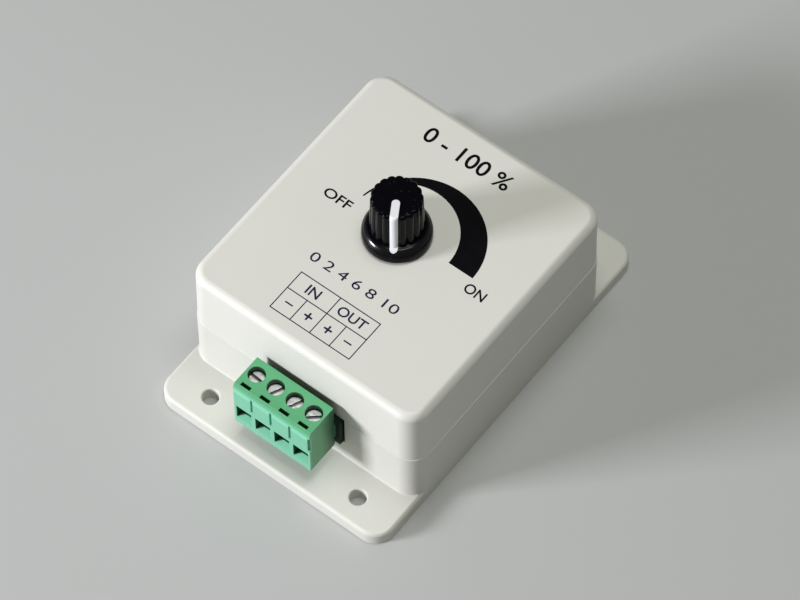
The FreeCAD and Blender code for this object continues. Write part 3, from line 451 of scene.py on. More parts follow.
def case_finish():
    made = Finish("ivory_plastic", IVORY, IOR=1.50)
    upper_tone = made.blend(made.noise(22.0, 3.0) ** 2.0, IVORY, AGED)
    tone = made.blend(0.7 * made.z.within(seam - 0.05, 0.05), upper_tone, DEEPER)
    # Painted highlight: a thin paler line just under the seam, where the ledge catches light, fading out
    # towards the front.
    from_lip = (made.z - seam + SEAM_HIGHLIGHT_DROP).size()
    highlight_fade = made.y.beyond(HIGHLIGHT_FADE_FROM - front, HIGHLIGHT_FADE_FROM)
    painted_highlight = from_lip.within(SEAM_HIGHLIGHT_REACH, 0.05) * (0.6 + 0.5 * made.noise(3.0)) * highlight_fade
    made.feed("Base Color", made.blend(painted_highlight, tone, SEAM_HIGHLIGHT))
    scuffs = made.noise(1.2, 2.0, (0.08, 1.0, 1.0)).within(0.36, 0.05)
    made.feed("Roughness", 0.40 + 0.10 * made.noise(6.0, 4.0) + 0.08 * scuffs)
    made.bump(made.noise(SPARK_GRAIN, 3.0), SPARK_DEEP)
    return made


ivory = case_finish()

# %% [markdown]
# Both case halves start as a block whose upright edges are bevelled round. The lid leans inwards a
# little, so that it comes out of its mould, and its top rim has a generous fillet. At the seam it is a
# tenth of a millimetre narrower than the lower half, and the narrow ledge this leaves catches a line
# of light on the shaded side. Scaling the top face gives the lean, and a bevel with many segments
# gives each round. The halves are then hollowed with smaller blocks of the same kind, as the mould's
# core would do it.

# %% Case sizes
CORNER = 4.7
WALL = 2.2
FLOOR = 2.4
LEAN = 0.6
RIM_ROUND = 1.8
LEDGE = 0.12
SEAM_ROUND = 0.2
LID_EDGE = 0.05
LIP_TALL = 1.2
LIP_THICK = 1.0
LIP_GAP = 0.15
PAST = 1.0


def rounded_block(name, half_x, half_y, low, high, corner, lean=0.0, steps=12):
    """A block about the Z axis with round upright corners and sides that lean in as they rise."""
    piece = block(name, (-half_x, -half_y, low), (half_x, half_y, high))
    edit(piece)
    inward = math.tan(math.radians(lean)) * (high - low)
    choose(piece, "FACE", face_up)
    scale_about((0, 0, high), 1 - inward / half_x, 1 - inward / half_y)
    close()
    round_edges(piece, upright_edge, corner, steps)
    return piece


# %% [markdown]
# Four long screws come up from below through posts in the lower half and bite into bosses under the
# lid. Both halves and the screws share these places and depths, so they are worked out once, here.

# %% Posts and screws that hold the halves
POST_INSET = 5.9
POST = 3.5
SCREW_CORE = 1.45
SCREW_WAY = 1.625
SINK = 2.95
SINK_DEEP = 3.2
SCREW_TOP = seam + 7.0
posts = [(x * (side - POST_INSET), y * (front - POST_INSET)) for x in (-1, 1) for y in (-1, 1)]

knob_low, knob_high = corners_of("knob")
axis = ((knob_low.x + knob_high.x) / 2, (knob_low.y + knob_high.y) / 2)
print("knob axis at", [round(number, 2) for number in axis])

# %% [markdown]
# The lid is the outer block with a core taken out, and a shallow rebate that the lower half's lip
# fits into. The bosses are joined on inside with their pilot holes, and the knob's bushing gets its
# hole through the roof.

# %% Top cover
BUSHING_WAY = 3.6


def top_cover():
    lid = rounded_block("top_cover_shell", side - LEDGE, front - LEDGE, seam, roof, CORNER, LEAN)
    round_edges(lid, level_edge(roof), RIM_ROUND, 8)
    round_edges(lid, level_edge(seam), LID_EDGE, 2)
    inner = side - WALL, front - WALL
    core = rounded_block("core", *inner, seam - PAST, roof - WALL, CORNER - WALL, LEAN, 8)
    reach = LIP_THICK + LIP_GAP
    rebate = rounded_block("rebate", inner[0] + reach, inner[1] + reach, seam - PAST,
                           seam + LIP_TALL + LIP_GAP, CORNER - WALL + reach, steps=8)
    combine(lid, "DIFFERENCE", core, rebate)
    for place in posts:
        combine(lid, "UNION", rod("boss", place, POST, seam, roof - WALL / 2))
        combine(lid, "DIFFERENCE", rod("pilot", place, SCREW_CORE, seam - PAST, SCREW_TOP, 32))
    return combine(lid, "DIFFERENCE", rod("way", axis, BUSHING_WAY, roof - WALL - PAST, roof + PAST, 64))


settle(top_cover(), "case", ivory, ["top_cover"])

# %% [markdown]
# The lower half carries the flanges. Wall and flange are moulded in one, so the corner between them
# is not sharp: after the two blocks are joined, the edges where they meet are picked by place and
# bevelled into a small fillet, which catches a thin line of light. The mount holes are cut with a
# turned cutter that flares at its mouth, so that each hole gets its soft rim in the same stroke.

# %% Lower shell
FLANGE_TALL = 3.5
FLANGE_ROUND = 0.9
FILLET = 0.45
MOUNT_X = side - 10.5
MOUNT_Y = front + 6.25
MOUNT = 1.9
MOUNT_RIM = 0.35
ROUND_STEPS = 6
NOTCH_GAP = 0.3


def flared_cutter(name, centre, radius, rim, low, mouth):
    """A round cutter that opens to a soft mouth at a surface above it."""
    flare = rolled(radius, mouth - rim, radius + rim, mouth, ROUND_STEPS)
    return lathe(name, centre, [(radius, low), (radius, mouth - rim), *flare, (radius + rim, mouth + PAST)])


def joins_wall(edge):
    """Where the wall of the case stands on a flange."""
    upright = any(abs(face.normal.z) < 0.1 for face in edge.link_faces)
    level = any(face.normal.z > 0.99 for face in edge.link_faces)
    return upright and level and level_edge(FLANGE_TALL)(edge)


# %% [markdown]
# Inside, the lower half has the lip that locates the lid, four stands for the board and the four
# posts. Each is joined on before its hole is cut, or the join would fill the hole again. A notch in
# the front wall lets the terminal header out.

# %% Base shell
header_low, header_high = corners_of("socket_header")
board_low, board_high = corners_of("circuit_board")
BOARD_POST = 3.0
BOARD_PILOT = 1.1
BOARD_BITE = 4.0
BOARD_SCREW_SIDE = 4.3
BOARD_SCREW_END = 13.05
board_posts = [(x * (side - WALL - BOARD_SCREW_SIDE), y * (front - WALL - BOARD_SCREW_END))
               for x in (-1, 1) for y in (-1, 1)]
mounts = [(x * MOUNT_X, y * MOUNT_Y) for x in (-1, 1) for y in (-1, 1)]


def base_shell():
    base = rounded_block("base_shell_case", side, flange_end, 0, FLANGE_TALL, CORNER)
    round_edges(base, level_edge(FLANGE_TALL), FLANGE_ROUND, 6)
    walls = rounded_block("walls", side, front, 0, seam, CORNER)
    round_edges(walls, level_edge(seam), SEAM_ROUND, 3)
    combine(base, "UNION", walls)
    round_edges(base, joins_wall, FILLET, 4)
    inner = side - WALL, front - WALL
    hollow = rounded_block("hollow", *inner, FLOOR, seam + PAST, CORNER - WALL, steps=8)
    combine(base, "DIFFERENCE", hollow)
    lip = rounded_block("lip", inner[0] + LIP_THICK, inner[1] + LIP_THICK, seam - PAST,
                        seam + LIP_TALL, CORNER - WALL + LIP_THICK, steps=8)
    lip_core = rounded_block("lip_core", *inner, seam - 2 * PAST, seam + 2 * PAST,
                             CORNER - WALL, steps=8)
    combine(base, "UNION", combine(lip, "DIFFERENCE", lip_core))
    for place in board_posts:
        combine(base, "UNION", rod("stand", place, BOARD_POST, FLOOR / 2, board_low.z))
        combine(base, "DIFFERENCE", rod("pilot", place, BOARD_PILOT, board_low.z - BOARD_BITE,
                                        board_low.z + PAST, 32))
    for place in posts:
        combine(base, "UNION", rod("post", place, POST, FLOOR / 2, seam))
        way = lathe("way", place, [(SINK, -PAST), (SINK, SINK_DEEP), (SCREW_WAY, SINK_DEEP),
                                   (SCREW_WAY, seam + 2 * PAST)], 48)
        combine(base, "DIFFERENCE", way)
    for place in mounts:
        combine(base, "DIFFERENCE", flared_cutter("mount", place, MOUNT, MOUNT_RIM, -PAST, FLANGE_TALL))
    notch = header_high.x + NOTCH_GAP
    return combine(base, "DIFFERENCE", block("notch", (-notch, -front - PAST, header_low.z - NOTCH_GAP),
                                             (notch, WALL + PAST - front, seam + 2 * PAST)))


settle(base_shell(), "case", ivory, ["base_shell"])

# %% [markdown]
# The screws are steel with a bright zinc plating, and their heads were turned. The turning leaves fine
# rings about the centre, which spread a highlight into a bow. A sine of the distance from the centre
# draws them, and for a row of screws that distance is taken from the nearest one.

# %% Bright zinc-plated steel
ZINC = (0.62, 0.62, 0.60)
ZINC_DULL = (0.50, 0.50, 0.49)
RINGS_PER_MM = 38.0
RINGS_DEEP = 0.004


def turned_steel(name, centre_x, centre_y, pitch=0.0):
    """Plated steel with fine turning rings about a centre, or about each centre of a row."""
    made = Finish(name, ZINC, Metallic=1.0)
    across = made.x - centre_x
    if pitch:
        across = ((across / pitch + 0.5).part() - 0.5) * pitch
    along = made.y - centre_y
    reach = (across * across + along * along) ** 0.5
    rings = (reach * RINGS_PER_MM + made.noise(0.8) * 2.0).wave() * 0.5 + 0.5
    made.feed("Base Color", made.blend(made.noise(1.5, 3.0), ZINC, ZINC_DULL))
    made.feed("Roughness", 0.26 + 0.12 * rings + 0.10 * made.noise(0.6))
    made.bump(rings, RINGS_DEEP)
    return made


# %% [markdown]
# The case screws sink into the underside, where only their heads show. A screw is turned from rings,
# from the head's rim to its tip, and its cross drive is two crossed blocks cut away. One screw is
# made, and copies of it stand at the four places, each with its own mesh and its own turn.

# %% Case screws
HEAD = 2.75
HEAD_TALL = 1.9
HEAD_SOFT = 0.35
TIP = 0.3
DRIVE_LONG = 1.76
DRIVE_WIDE = 0.42
DRIVE_DEEP = 1.0
DRIVE_TAPER = 0.7


def case_screw(name):
    """A pan head screw that points up, on the Z axis."""
    under = SINK_DEEP - HEAD_TALL
    rings = rolled(HEAD, under + HEAD_SOFT, HEAD - HEAD_SOFT, under, 4)[::-1]
    rings += [(HEAD, under + HEAD_SOFT), (HEAD, SINK_DEEP), (SCREW_CORE, SINK_DEEP),
              (SCREW_CORE, SCREW_TOP - SCREW_CORE), (TIP, SCREW_TOP)]
    screw = lathe(name, (0, 0), rings, 48)
    for wide, long in ((DRIVE_LONG, DRIVE_WIDE), (DRIVE_WIDE, DRIVE_LONG)):
        arm = block("arm", (-wide, -long, under - PAST), (wide, long, under + DRIVE_DEEP))
        edit(arm)
        choose(arm, "FACE", face_up)
        scale_about((0, 0, under + DRIVE_DEEP), DRIVE_TAPER, DRIVE_TAPER)
        close()
        combine(screw, "DIFFERENCE", arm)
    return screw


TURNS = (20.0, 71.0, 48.0, 5.0)
for number, screw in copies(case_screw("pattern"), "case_screw", posts, TURNS):
    steel = turned_steel(f"case_screw_steel_{number}", *posts[number - 1])
    settle(screw, "case", steel, ["case_screws"])

# %% [markdown]
# The knob is two shapes joined: a turned skirt that swells like a dome, and a fluted body with
# eighteen round lobes. A lobe outline could be drawn point by point. It is quicker to take a circle
# whose points fall evenly on each lobe, and to pull in each set of points that lies equally far from a
# lobe's tip. How far each set goes in follows from the circle that one lobe is part of.

# %% Knob sizes
LOBES = 18
POINTS_PER_LOBE = 8
VALLEY = 0.42
BODY_LOW = 6.0
BODY_TOP = 5.6
SKIRT = 7.6
SKIRT_RIM = 1.0
SKIRT_TALL = 3.4
SKIRT_SOFT = 0.15
SKIRT_LAP = 0.3
TOP_ROUND = 0.7
knob_bottom, knob_top = knob_low.z, knob_high.z


def lobe_ratio(turn):
    """How far out a lobe's edge lies at an angle from its tip, as a share of the tip's radius."""
    half = math.pi / LOBES
    valley = BODY_LOW - VALLEY
    chord = valley * math.sin(half)
    sink = BODY_LOW - valley * math.cos(half)
    round_of = (chord**2 + sink**2) / (2 * sink)
    heart = BODY_LOW - round_of
    reach = heart * math.cos(turn) + math.sqrt(round_of**2 - (heart * math.sin(turn))**2)
    return reach / BODY_LOW


# %% [markdown]
# The outline is extruded upwards, narrows a little and rolls over at the top, and the skirt is a
# quarter of an ellipse, turned. Both can be made larger or smaller all over by some amount, because
# the pointer needs a knob that is a skin thicker, and one that is a skin thinner.

# %% Knob blank
def fluted_body(grow):
    """The fluted part on the Z axis, with a lobe's tip towards +Y, grown by some amount."""
    low, top = knob_bottom + SKIRT_RIM / 2, knob_top + grow
    points = LOBES * POINTS_PER_LOBE
    body = disc("fluted_body", (0, 0), BODY_LOW, low, points)
    step = 2 * math.pi / points
    for count in range(1, POINTS_PER_LOBE // 2 + 1):
        def this_far(corner):
            turn = math.atan2(corner.co.x, corner.co.y) / step
            phase = round(turn) % POINTS_PER_LOBE
            return min(phase, POINTS_PER_LOBE - phase) == count
        choose(body, "VERT", this_far)
        ratio = lobe_ratio(count * step)
        scale_about((0, 0, low), ratio, ratio)
    bpy.ops.mesh.select_all(action="SELECT")
    spread = (BODY_LOW + grow) / BODY_LOW
    scale_about((0, 0, low), spread, spread)
    crown, edge = BODY_TOP + grow, top - TOP_ROUND
    stack((0, 0), (BODY_LOW + grow, low), [(crown, edge), *rolled(crown, edge, crown - TOP_ROUND, top, 6)])
    return body


def knob_blank(name, grow=0.0):
    """Skirt and fluted body, joined, on the Z axis."""
    reach, rim = SKIRT + grow, knob_bottom + SKIRT_RIM + grow
    neck, shoulder = BODY_LOW + grow, knob_bottom + SKIRT_TALL
    rings = [(reach - SKIRT_SOFT, knob_bottom), (reach, knob_bottom + SKIRT_SOFT), (reach, rim),
             *rolled(reach, rim, neck, shoulder, 12), (neck - VALLEY - SKIRT_LAP, shoulder + SKIRT_LAP)]
    return combine(lathe(name, (0, 0), rings, LOBES * POINTS_PER_LOBE), "UNION", fluted_body(grow))


# %% [markdown]
# The pointer is a white strip let into the knob, from near its middle over the edge and down to the
# skirt. It has to follow every curve below it, so it isn't modelled on its own: a slightly larger
# knob is crossed with an upright bar that has the strip's outline, and a slightly smaller knob is
# taken out of it again. What remains is a thin skin of even thickness.

# %% Knob and pointer
POINTER = 0.875
POINTER_START = 0.75
POINTER_END = 7.0
POINTER_PROUD = 0.12
POINTER_DEEP = 0.5
POINTER_TURN = -149.0
SHAFT = 3.0
SHAFT_FLAT = 1.6
RECESS = 5.6
RECESS_DEEP = 2.5
NECK = 3.8
BUSHING_TOP = roof + 4.0
shaft_end = corners_of("pot_shaft")[1].z


def turned_to_place(piece):
    """Turns a knob piece so that its pointer shows full on, and moves it to the knob's axis."""
    piece.rotation_euler.z = math.radians(POINTER_TURN)
    piece.location = (*axis, 0)
    only(piece)
    bpy.ops.object.transform_apply(location=True, rotation=True)
    return piece


def pointer_strip():
    """An upright bar with round ends: a rod whose far half is pulled along."""
    start, end = POINTER_START + POINTER, POINTER_END - POINTER
    strip = rod("strip", (0, start), POINTER, knob_bottom + SKIRT_RIM / 2, knob_top + PAST, 34)
    edit(strip)
    choose(strip, "VERT", lambda corner: corner.co.y > start)
    bpy.ops.transform.translate(value=(0, end - start, 0))
    close()
    return strip


def shaft_way():
    """The D shaped bore: a round bar with one side cut flat."""
    bar = rod("shaft_way", axis, SHAFT, roof, shaft_end)
    return slice_off(bar, (axis[0] + SHAFT_FLAT, axis[1], roof), (1, 0, 0))


inlay = combine(pointer_strip(), "INTERSECT", knob_blank("grown", POINTER_PROUD))
inlay = turned_to_place(combine(inlay, "DIFFERENCE", knob_blank("shrunk", -POINTER_DEEP)))
inlay.name = inlay.data.name = "white_pointer"
knob = turned_to_place(knob_blank("fluted_knob"))
combine(knob, "DIFFERENCE", twin_of(inlay, "inlay_seat"),
        rod("recess", axis, RECESS, knob_bottom - PAST, knob_bottom + RECESS_DEEP, 64),
        rod("neck", axis, NECK, knob_bottom, BUSHING_TOP), shaft_way())

# %% [markdown]
# The knob is gloss black phenolic, so nearly all that the eye sees of it is reflection. Its colour is
# almost nothing, and the life is in the roughness: polish, faint wipe marks that run round it, and a
# few specks of dust that lie matt on the gloss. Fingers polish the shoulder of the skirt most, so a
# clear coat lies on a band there and takes the one bright highlight.

# %% Gloss black and pointer white
BLACK = (0.0025, 0.0025, 0.0040)
SPECK = (0.040, 0.040, 0.045)
WHITE = (0.880, 0.895, 0.920)
WORN_WHITE = (0.780, 0.795, 0.820)
POLISH_LOW = 2.6
POLISH_TOP = 3.3


def knob_finish():
    made = Finish("gloss_black", BLACK, IOR=1.46, Specular_IOR_Level=0.07, Coat_IOR=1.55,
                  Coat_Roughness=0.2)
    dust = made.noise(0.45, 1.0).within(0.25, 0.03)
    made.feed("Base Color", made.blend(dust, BLACK, SPECK))
    wiped = made.noise(2.2, 4.0, (1, 1, 0.25))
    made.feed("Roughness", 0.10 + 0.12 * wiped + 0.35 * dust)
    rise = made.z - knob_bottom
    made.feed("Coat Weight", rise.beyond(POLISH_LOW, 0.6) * rise.within(POLISH_TOP, 0.15))
    made.bump(made.noise(1.6, 2.0), 0.012)
    return made


gloss_black = knob_finish()
pointer_white = plastic("pointer_white_plastic", WHITE, WORN_WHITE, 5.0, 0.36, 0.16, 0.5, 0.008)
settle(knob, "knob_set", gloss_black, ["knob"], angle=40.0)
settle(inlay, "knob_set", pointer_white, ["knob_pointer"], angle=40.0)

# %% [markdown]
# The plug is one green moulding with four poles. It starts as a block. A bisect takes the long bevel
# off its front top edge, and the nose that enters the header is joined on behind. Then every pole gets
# the same cuts: a round way for the screwdriver, a square wire entry with a ramp for its floor, a test
# slot and a thin groove at its right. The ramp lifts a wire into its cage, and from above it leaves
# only a dark wedge of each entry in view. Last, a bevel modifier softens every edge a little, as a
# mould does, so that each one holds a line of light.

# %% Plug sizes
PITCH = 5.08
POLES = [PITCH * step for step in (-1.5, -0.5, 0.5, 1.5)]
plug_low, plug_high = corners_of("plug_body")
shoulder_y = -front - 1.47
BEVEL_DROP = 1.4
BEVEL_DEEP = 0.6
SCREW_ROW = plug_low.y + 4.86
SCREW_HOLE = 1.95
ENTRY = 2.0
ENTRY_RISE = 2.13
ENTRY_TALL = 4.5
RAMP_DEEP = 1.3
RAMP_RISE = 0.48
PROBE = (1.25, 0.45)
PROBE_ROW = plug_low.y + 1.26
PROBE_DEEP = 2.5
GROOVE = 0.58
GROOVE_RISE = 8.03
GROOVE_TALL = 5.1
GROOVE_DEEP = 0.6
NOSE = 9.95
NOSE_RISE = 1.5
NOSE_TALL = 6.2
CHAMBER = (2.3, 2.1)
CHAMBER_RISE = 1.33
CHAMBER_ROOF = 3.0
DUCT = 1.3
DUCT_RISE = 1.4
DUCT_TALL = 3.8
PLUG_SOFT = 0.09


# %% [markdown]
# A wire entry's cutter is itself cut: a wedge is taken off its floor, and what the wedge held stays
# in the plug as the ramp. The radius on every edge comes from one bevel at the very end, on all edges
# that turn by more than a set angle.

# %% Wire entries and soft edges
def entry_cutter(x, entry_low):
    """A square wire entry whose floor begins as a ramp, which leads the wire up into its cage."""
    cutter = block("entry", (x - ENTRY, plug_low.y - PAST, entry_low),
                   (x + ENTRY, SCREW_ROW, entry_low + ENTRY_TALL))
    ramp = block("ramp", (x - ENTRY - PAST, plug_low.y, entry_low - PAST),
                 (x + ENTRY + PAST, plug_low.y + RAMP_DEEP, entry_low + ENTRY_TALL))
    slice_off(ramp, (x, plug_low.y, entry_low), (0, -RAMP_RISE, RAMP_DEEP))
    return combine(cutter, "DIFFERENCE", ramp)


def all_edges_soft(piece, reach):
    """Softens every sharp edge a little, as the radius of a mould does."""
    modify(piece, "BEVEL", width=reach, segments=2, limit_method="ANGLE", angle_limit=math.radians(40))
    return piece


# %% [markdown]
# The cuts of a pole are all measured from its centre line, so a loop over the poles gives the row.
# The groove of the last pole runs out at the side, as it does on the real moulding.

# %% Plug body
def plug_body():
    y_front, top = plug_low.y, plug_high.z
    wide = 2 * PITCH
    plug = block("terminal_plug", (-wide, y_front, plug_low.z), (wide, shoulder_y, top))
    slice_off(plug, (0, y_front + BEVEL_DEEP, top), (0, -BEVEL_DROP, BEVEL_DEEP))
    nose_low = board_high.z + NOSE_RISE
    nose = block("nose", (-NOSE, shoulder_y - PAST, nose_low), (NOSE, plug_high.y, nose_low + NOSE_TALL))
    combine(plug, "UNION", nose)
    entry_low = plug_low.z + ENTRY_RISE
    groove_low = plug_low.z + GROOVE_RISE
    room_low, room_top = plug_low.z + CHAMBER_RISE, top - CHAMBER_ROOF
    duct_low = nose_low + DUCT_RISE
    for x in POLES:
        edge = x + PITCH / 2
        combine(
            plug, "DIFFERENCE",
            block("room", (x - CHAMBER[0], SCREW_ROW - CHAMBER[1], room_low),
                  (x + CHAMBER[0], SCREW_ROW + CHAMBER[1], room_top)),
            rod("screw_hole", (x, SCREW_ROW), SCREW_HOLE, room_top - PAST, top + PAST),
            entry_cutter(x, entry_low),
            block("probe", (x - PROBE[0], PROBE_ROW - PROBE[1], top - PROBE_DEEP),
                  (x + PROBE[0], PROBE_ROW + PROBE[1], top + PAST)),
            block("groove", (edge - GROOVE, y_front - PAST, groove_low),
                  (edge if x < POLES[-1] else edge + PAST, y_front + GROOVE_DEEP,
                   groove_low + GROOVE_TALL)),
            block("duct", (x - DUCT, SCREW_ROW, duct_low),
                  (x + DUCT, plug_high.y + PAST, duct_low + DUCT_TALL)))
    return all_edges_soft(plug, PLUG_SOFT)


# %% [markdown]
# The green of such terminals is a flat, slightly chalky one, with flow marks where the plastic met
# behind each hole. Drift between two greens gives the first, and streaks along the front the second.

# %% Green plastics
GREEN = (0.170, 0.520, 0.330)
GREEN_PALE = (0.200, 0.570, 0.370)
# The header's dark green, made darker still as painted shade for the deep shade it sits in.
DARK_GREEN_AND_SHADE = (0.003, 0.016, 0.007)
DARK_GREEN_AND_SHADE_PALE = (0.005, 0.024, 0.011)


def green_finish(name, colour, second, **plain):
    made = Finish(name, colour, IOR=1.50, **plain)
    cloud = made.noise(5.0, 3.0)
    made.streaks = made.noise(1.4, 4.0, (0.35, 1.0, 1.0))
    made.tone = made.blend(0.6 * cloud + 0.4 * made.streaks, colour, second)
    made.feed("Base Color", made.tone)
    made.feed("Roughness", 0.34 + 0.14 * made.streaks)
    made.bump(0.6 * made.noise(0.3, 3.0) + 0.4 * made.streaks, 0.012)
    return made


# %% [markdown]
# The plug's colour carries painted light and shade. Its top, its upper bevel and its flanks are painted a
# darker green as painted shade, a paler line along the front where the bevel ends is a painted highlight,
# and the floor of each wire entry is painted paler as painted light. Down in the openings, under the top
# edge and back along the flanks the green falls off towards a deep one as painted shade. Each of these is a
# mask, a share from 0 to 1 that follows from a point's place on the plug.

# %% Painted light and shade on the plug
# Colours and reaches of the painted light and shade on the plug.
GREEN_SHADED = (0.084, 0.380, 0.160)
GREEN_HIGHLIGHT = (0.235, 0.680, 0.440)
GREEN_SHADOW = (0.012, 0.085, 0.035)
TOP_SHADE_DOWN = 0.9
HIGHLIGHT_DOWN = 2.4
HIGHLIGHT_REACH = 0.65
EDGE_DOWN = 0.3
EDGE_SHADE = 0.15
FLANK_SHADE = 0.85
FLANK_SHADE_FROM = 5.4
SHALLOW = 0.15
ABOVE_ENTRY = 0.5
CORNER_SPREAD = 1.1
DARK_END = -0.7


def entry_shade(depth, sideways):
    """How much painted shade a wire entry gets: on its walls, as a painted shadow in the corner beside the
    ramp, and past the ramp.
    """
    walls = sideways.size().beyond(ENTRY - 0.06, 0.03)
    # Painted shadow of the entry's left wall, slanting as the key light's shadow does.
    corner = (sideways - CORNER_SPREAD * depth).within(-ENTRY, 0.3)
    by_ramp = (walls + corner) * depth.beyond(SHALLOW, 0.05) * depth.within(RAMP_DEEP, 0.1)
    return by_ramp + depth.beyond(RAMP_DEEP, 0.1) * sideways.within(DARK_END, 1.4)


def shaded_plug_green():
    made = green_finish("green_plastic", GREEN, GREEN_PALE)
    wide, top = 2 * PITCH, plug_high.z
    depth = made.y - plug_low.y
    across = made.x.size()
    sideways = ((made.x / PITCH).part() - 0.5) * PITCH
    inside = across.within(wide - 0.2, 0.05)
    flank = across.beyond(wide - 0.05, 0.02)
    lower = made.z.within(plug_low.z + ENTRY_RISE + ENTRY_TALL + ABOVE_ENTRY, 0.2)
    upper = (1.0 - lower) * made.z.within(top - 0.2, 0.1)
    # Painted shade: the top and the upper bevel are darkened, as the low key light lights them less.
    wear_and_shade = made.z.beyond(top - TOP_SHADE_DOWN, 1.2) * (0.9 + 0.1 * made.streaks)
    # The flanks take the same painted shade as the top.
    shaded_tone = made.blend(wear_and_shade + flank * depth.beyond(0.4, 1.0), made.tone, GREEN_SHADED)
    # Painted highlight: a paler line along the front where the bevel ends.
    painted_highlight = (made.z - top + HIGHLIGHT_DOWN).size().within(HIGHLIGHT_REACH, 0.9) * depth.within(0.1, 0.05)
    # Painted light: the floor of each wire entry is painted paler, as if lit like the front.
    painted_ramp_light = depth.beyond(0.1, 0.2) * lower * inside
    tone = made.blend(painted_highlight + painted_ramp_light, shaded_tone, GREEN_HIGHLIGHT)
    # Painted shade down in the grooves and the wire entries.
    groove_shade = depth.beyond(GROOVE_DEEP + SHALLOW, 0.05)
    painted_recess_shade = (groove_shade * upper + entry_shade(depth, sideways) * lower) * inside
    # Painted shade along the upper bevel, just under the top edge.
    edge = (made.z - top + EDGE_DOWN).size().within(0.25, 0.5) * depth.within(BEVEL_DEEP, 0.2) * EDGE_SHADE
    # Painted shade on the flanks, deepening towards the case behind them.
    back = flank * depth.beyond(FLANK_SHADE_FROM, 3.0) * FLANK_SHADE
    made.feed("Base Color", made.blend(painted_recess_shade + edge + back, tone, GREEN_SHADOW))
    return made


plug_green = shaded_plug_green()
# The header's colour is partly its own dark green and partly painted shade.
header_green = green_finish("dark_green_plastic", DARK_GREEN_AND_SHADE, DARK_GREEN_AND_SHADE_PALE, Specular_IOR_Level=0.15)
settle(plug_body(), "plug_set", plug_green, ["plug_body"], angle=35.0)

# %% [markdown]
# The header is the part of the connector that stays on the board. It is a darker green shroud, made
# darker still as painted shade for the deep shade it sits in. It is open to the front, and a square pin
# stands out of its back wall for each pole.

# %% Socket header
HEADER_WALL = 1.15
HEADER_BACK = 2.4
HEADER_SOFT = 0.12
PIN = 0.5
PIN_RISE = 3.05
MOVE_GAP = 0.3


def socket_header():
    shroud = block("terminal_header", header_low, header_high)
    nose_low = board_high.z + NOSE_RISE
    inside = header_high.x - HEADER_WALL
    pin_level = nose_low + PIN_RISE
    combine(shroud, "DIFFERENCE",
            block("mouth", (-inside, header_low.y - PAST, nose_low - MOVE_GAP),
                  (inside, header_high.y - HEADER_BACK, nose_low + NOSE_TALL + MOVE_GAP)))
    for x in POLES:
        combine(shroud, "DIFFERENCE",
                block("pin_way", (x - PIN, header_high.y - HEADER_BACK - PAST, pin_level - PIN),
                      (x + PIN, header_high.y + PAST, pin_level + PIN)))
    return all_edges_soft(shroud, HEADER_SOFT)


settle(socket_header(), "case", header_green, ["socket_header"], angle=35.0)

# %% [markdown]
# Each terminal screw sits deep in its hole, where it shows as a disc that the screwdriver keeps bright.
# Its slot is painted dark, a painted shade for the shade down in the slot. It is turned like the case
# screws, with a flatter head. The four are copies that someone has left at different turns, which makes a
# row of real screws look real.

# %% Terminal screws
TERMINAL_HEAD = 1.85
TERMINAL_HEAD_TALL = 1.2
TERMINAL_SOFT = 0.22
TERMINAL_CORE = 1.2
TERMINAL_TIP = 0.2
TERMINAL_EDGE = 0.05
SLOT = 0.36
SLOT_DEEP = 0.7
SLOT_TURNS = (-5.0, 65.0, 65.0, 42.0)
BRIGHT = (0.78, 0.79, 0.78)
SLOT_SHADE = (0.200, 0.205, 0.215)
terminal_low, terminal_high = corners_of("terminal_screw_1")


def slot_shaded_steel():
    made = turned_steel("terminal_steel", POLES[0], SCREW_ROW, PITCH)
    worn = made.noise(0.9, 2.0).within(0.55, 0.25)
    # Painted shade: the slot below the head's rolled rim is painted dark.
    painted_slot_shade = made.z.within(terminal_high.z - TERMINAL_SOFT, 0.06)
    made.feed("Base Color", made.blend(painted_slot_shade, made.blend(worn, ZINC_DULL, BRIGHT), SLOT_SHADE))
    return made


def terminal_screw(name):
    """A slotted screw that points down, on the Z axis, with its slot along X."""
    top = terminal_high.z
    under = top - TERMINAL_HEAD_TALL
    edge = top - TERMINAL_SOFT
    rings = [(TERMINAL_CORE - TERMINAL_TIP, terminal_low.z), (TERMINAL_CORE, terminal_low.z + TERMINAL_TIP),
             (TERMINAL_CORE, under), (TERMINAL_HEAD, under), (TERMINAL_HEAD, edge),
             *rolled(TERMINAL_HEAD, edge, TERMINAL_HEAD - TERMINAL_SOFT, top, 4)]
    screw = lathe(name, (0, 0), rings, 48)
    slot = block("slot", (-TERMINAL_HEAD - PAST, -SLOT, top - SLOT_DEEP),
                 (TERMINAL_HEAD + PAST, SLOT, top + PAST))
    return all_edges_soft(combine(screw, "DIFFERENCE", slot), TERMINAL_EDGE)


steel_row = slot_shaded_steel()
screw_places = [(x, SCREW_ROW) for x in POLES]
for number, screw in copies(terminal_screw("pattern"), "slotted_screw", screw_places, SLOT_TURNS):
    settle(screw, f"screw_{number}", steel_row, [f"terminal_screw_{number}"])

# %% [markdown]
# The print on the lid is ink with almost no thickness. An ink pattern inside the lid's material could
# do it, but crisp letters need geometry, so each mark is a thin flat solid that stands a hair proud of
# the lid. The band and the larger words are black, and the smaller print is a navy that passes for
# black until the light is on it.

# %% Ink
INK = 0.02
INK_BLACK = (0.0015, 0.0012, 0.0022)
INK_FADED = (0.0045, 0.0040, 0.0055)
INK_NAVY = (0.008, 0.006, 0.040)
INK_NAVY_FADED = (0.018, 0.015, 0.060)
ink_black = plastic("black_ink", INK_BLACK, INK_FADED, 2.0, 0.60, 0.16, 0.25, 0.004,
                    Specular_IOR_Level=0.05)
ink_navy = plastic("navy_ink", INK_NAVY, INK_NAVY_FADED, 2.0, 0.60, 0.16, 0.25, 0.004,
                   Specular_IOR_Level=0.1)
ink_levels = (roof - INK, roof + INK)

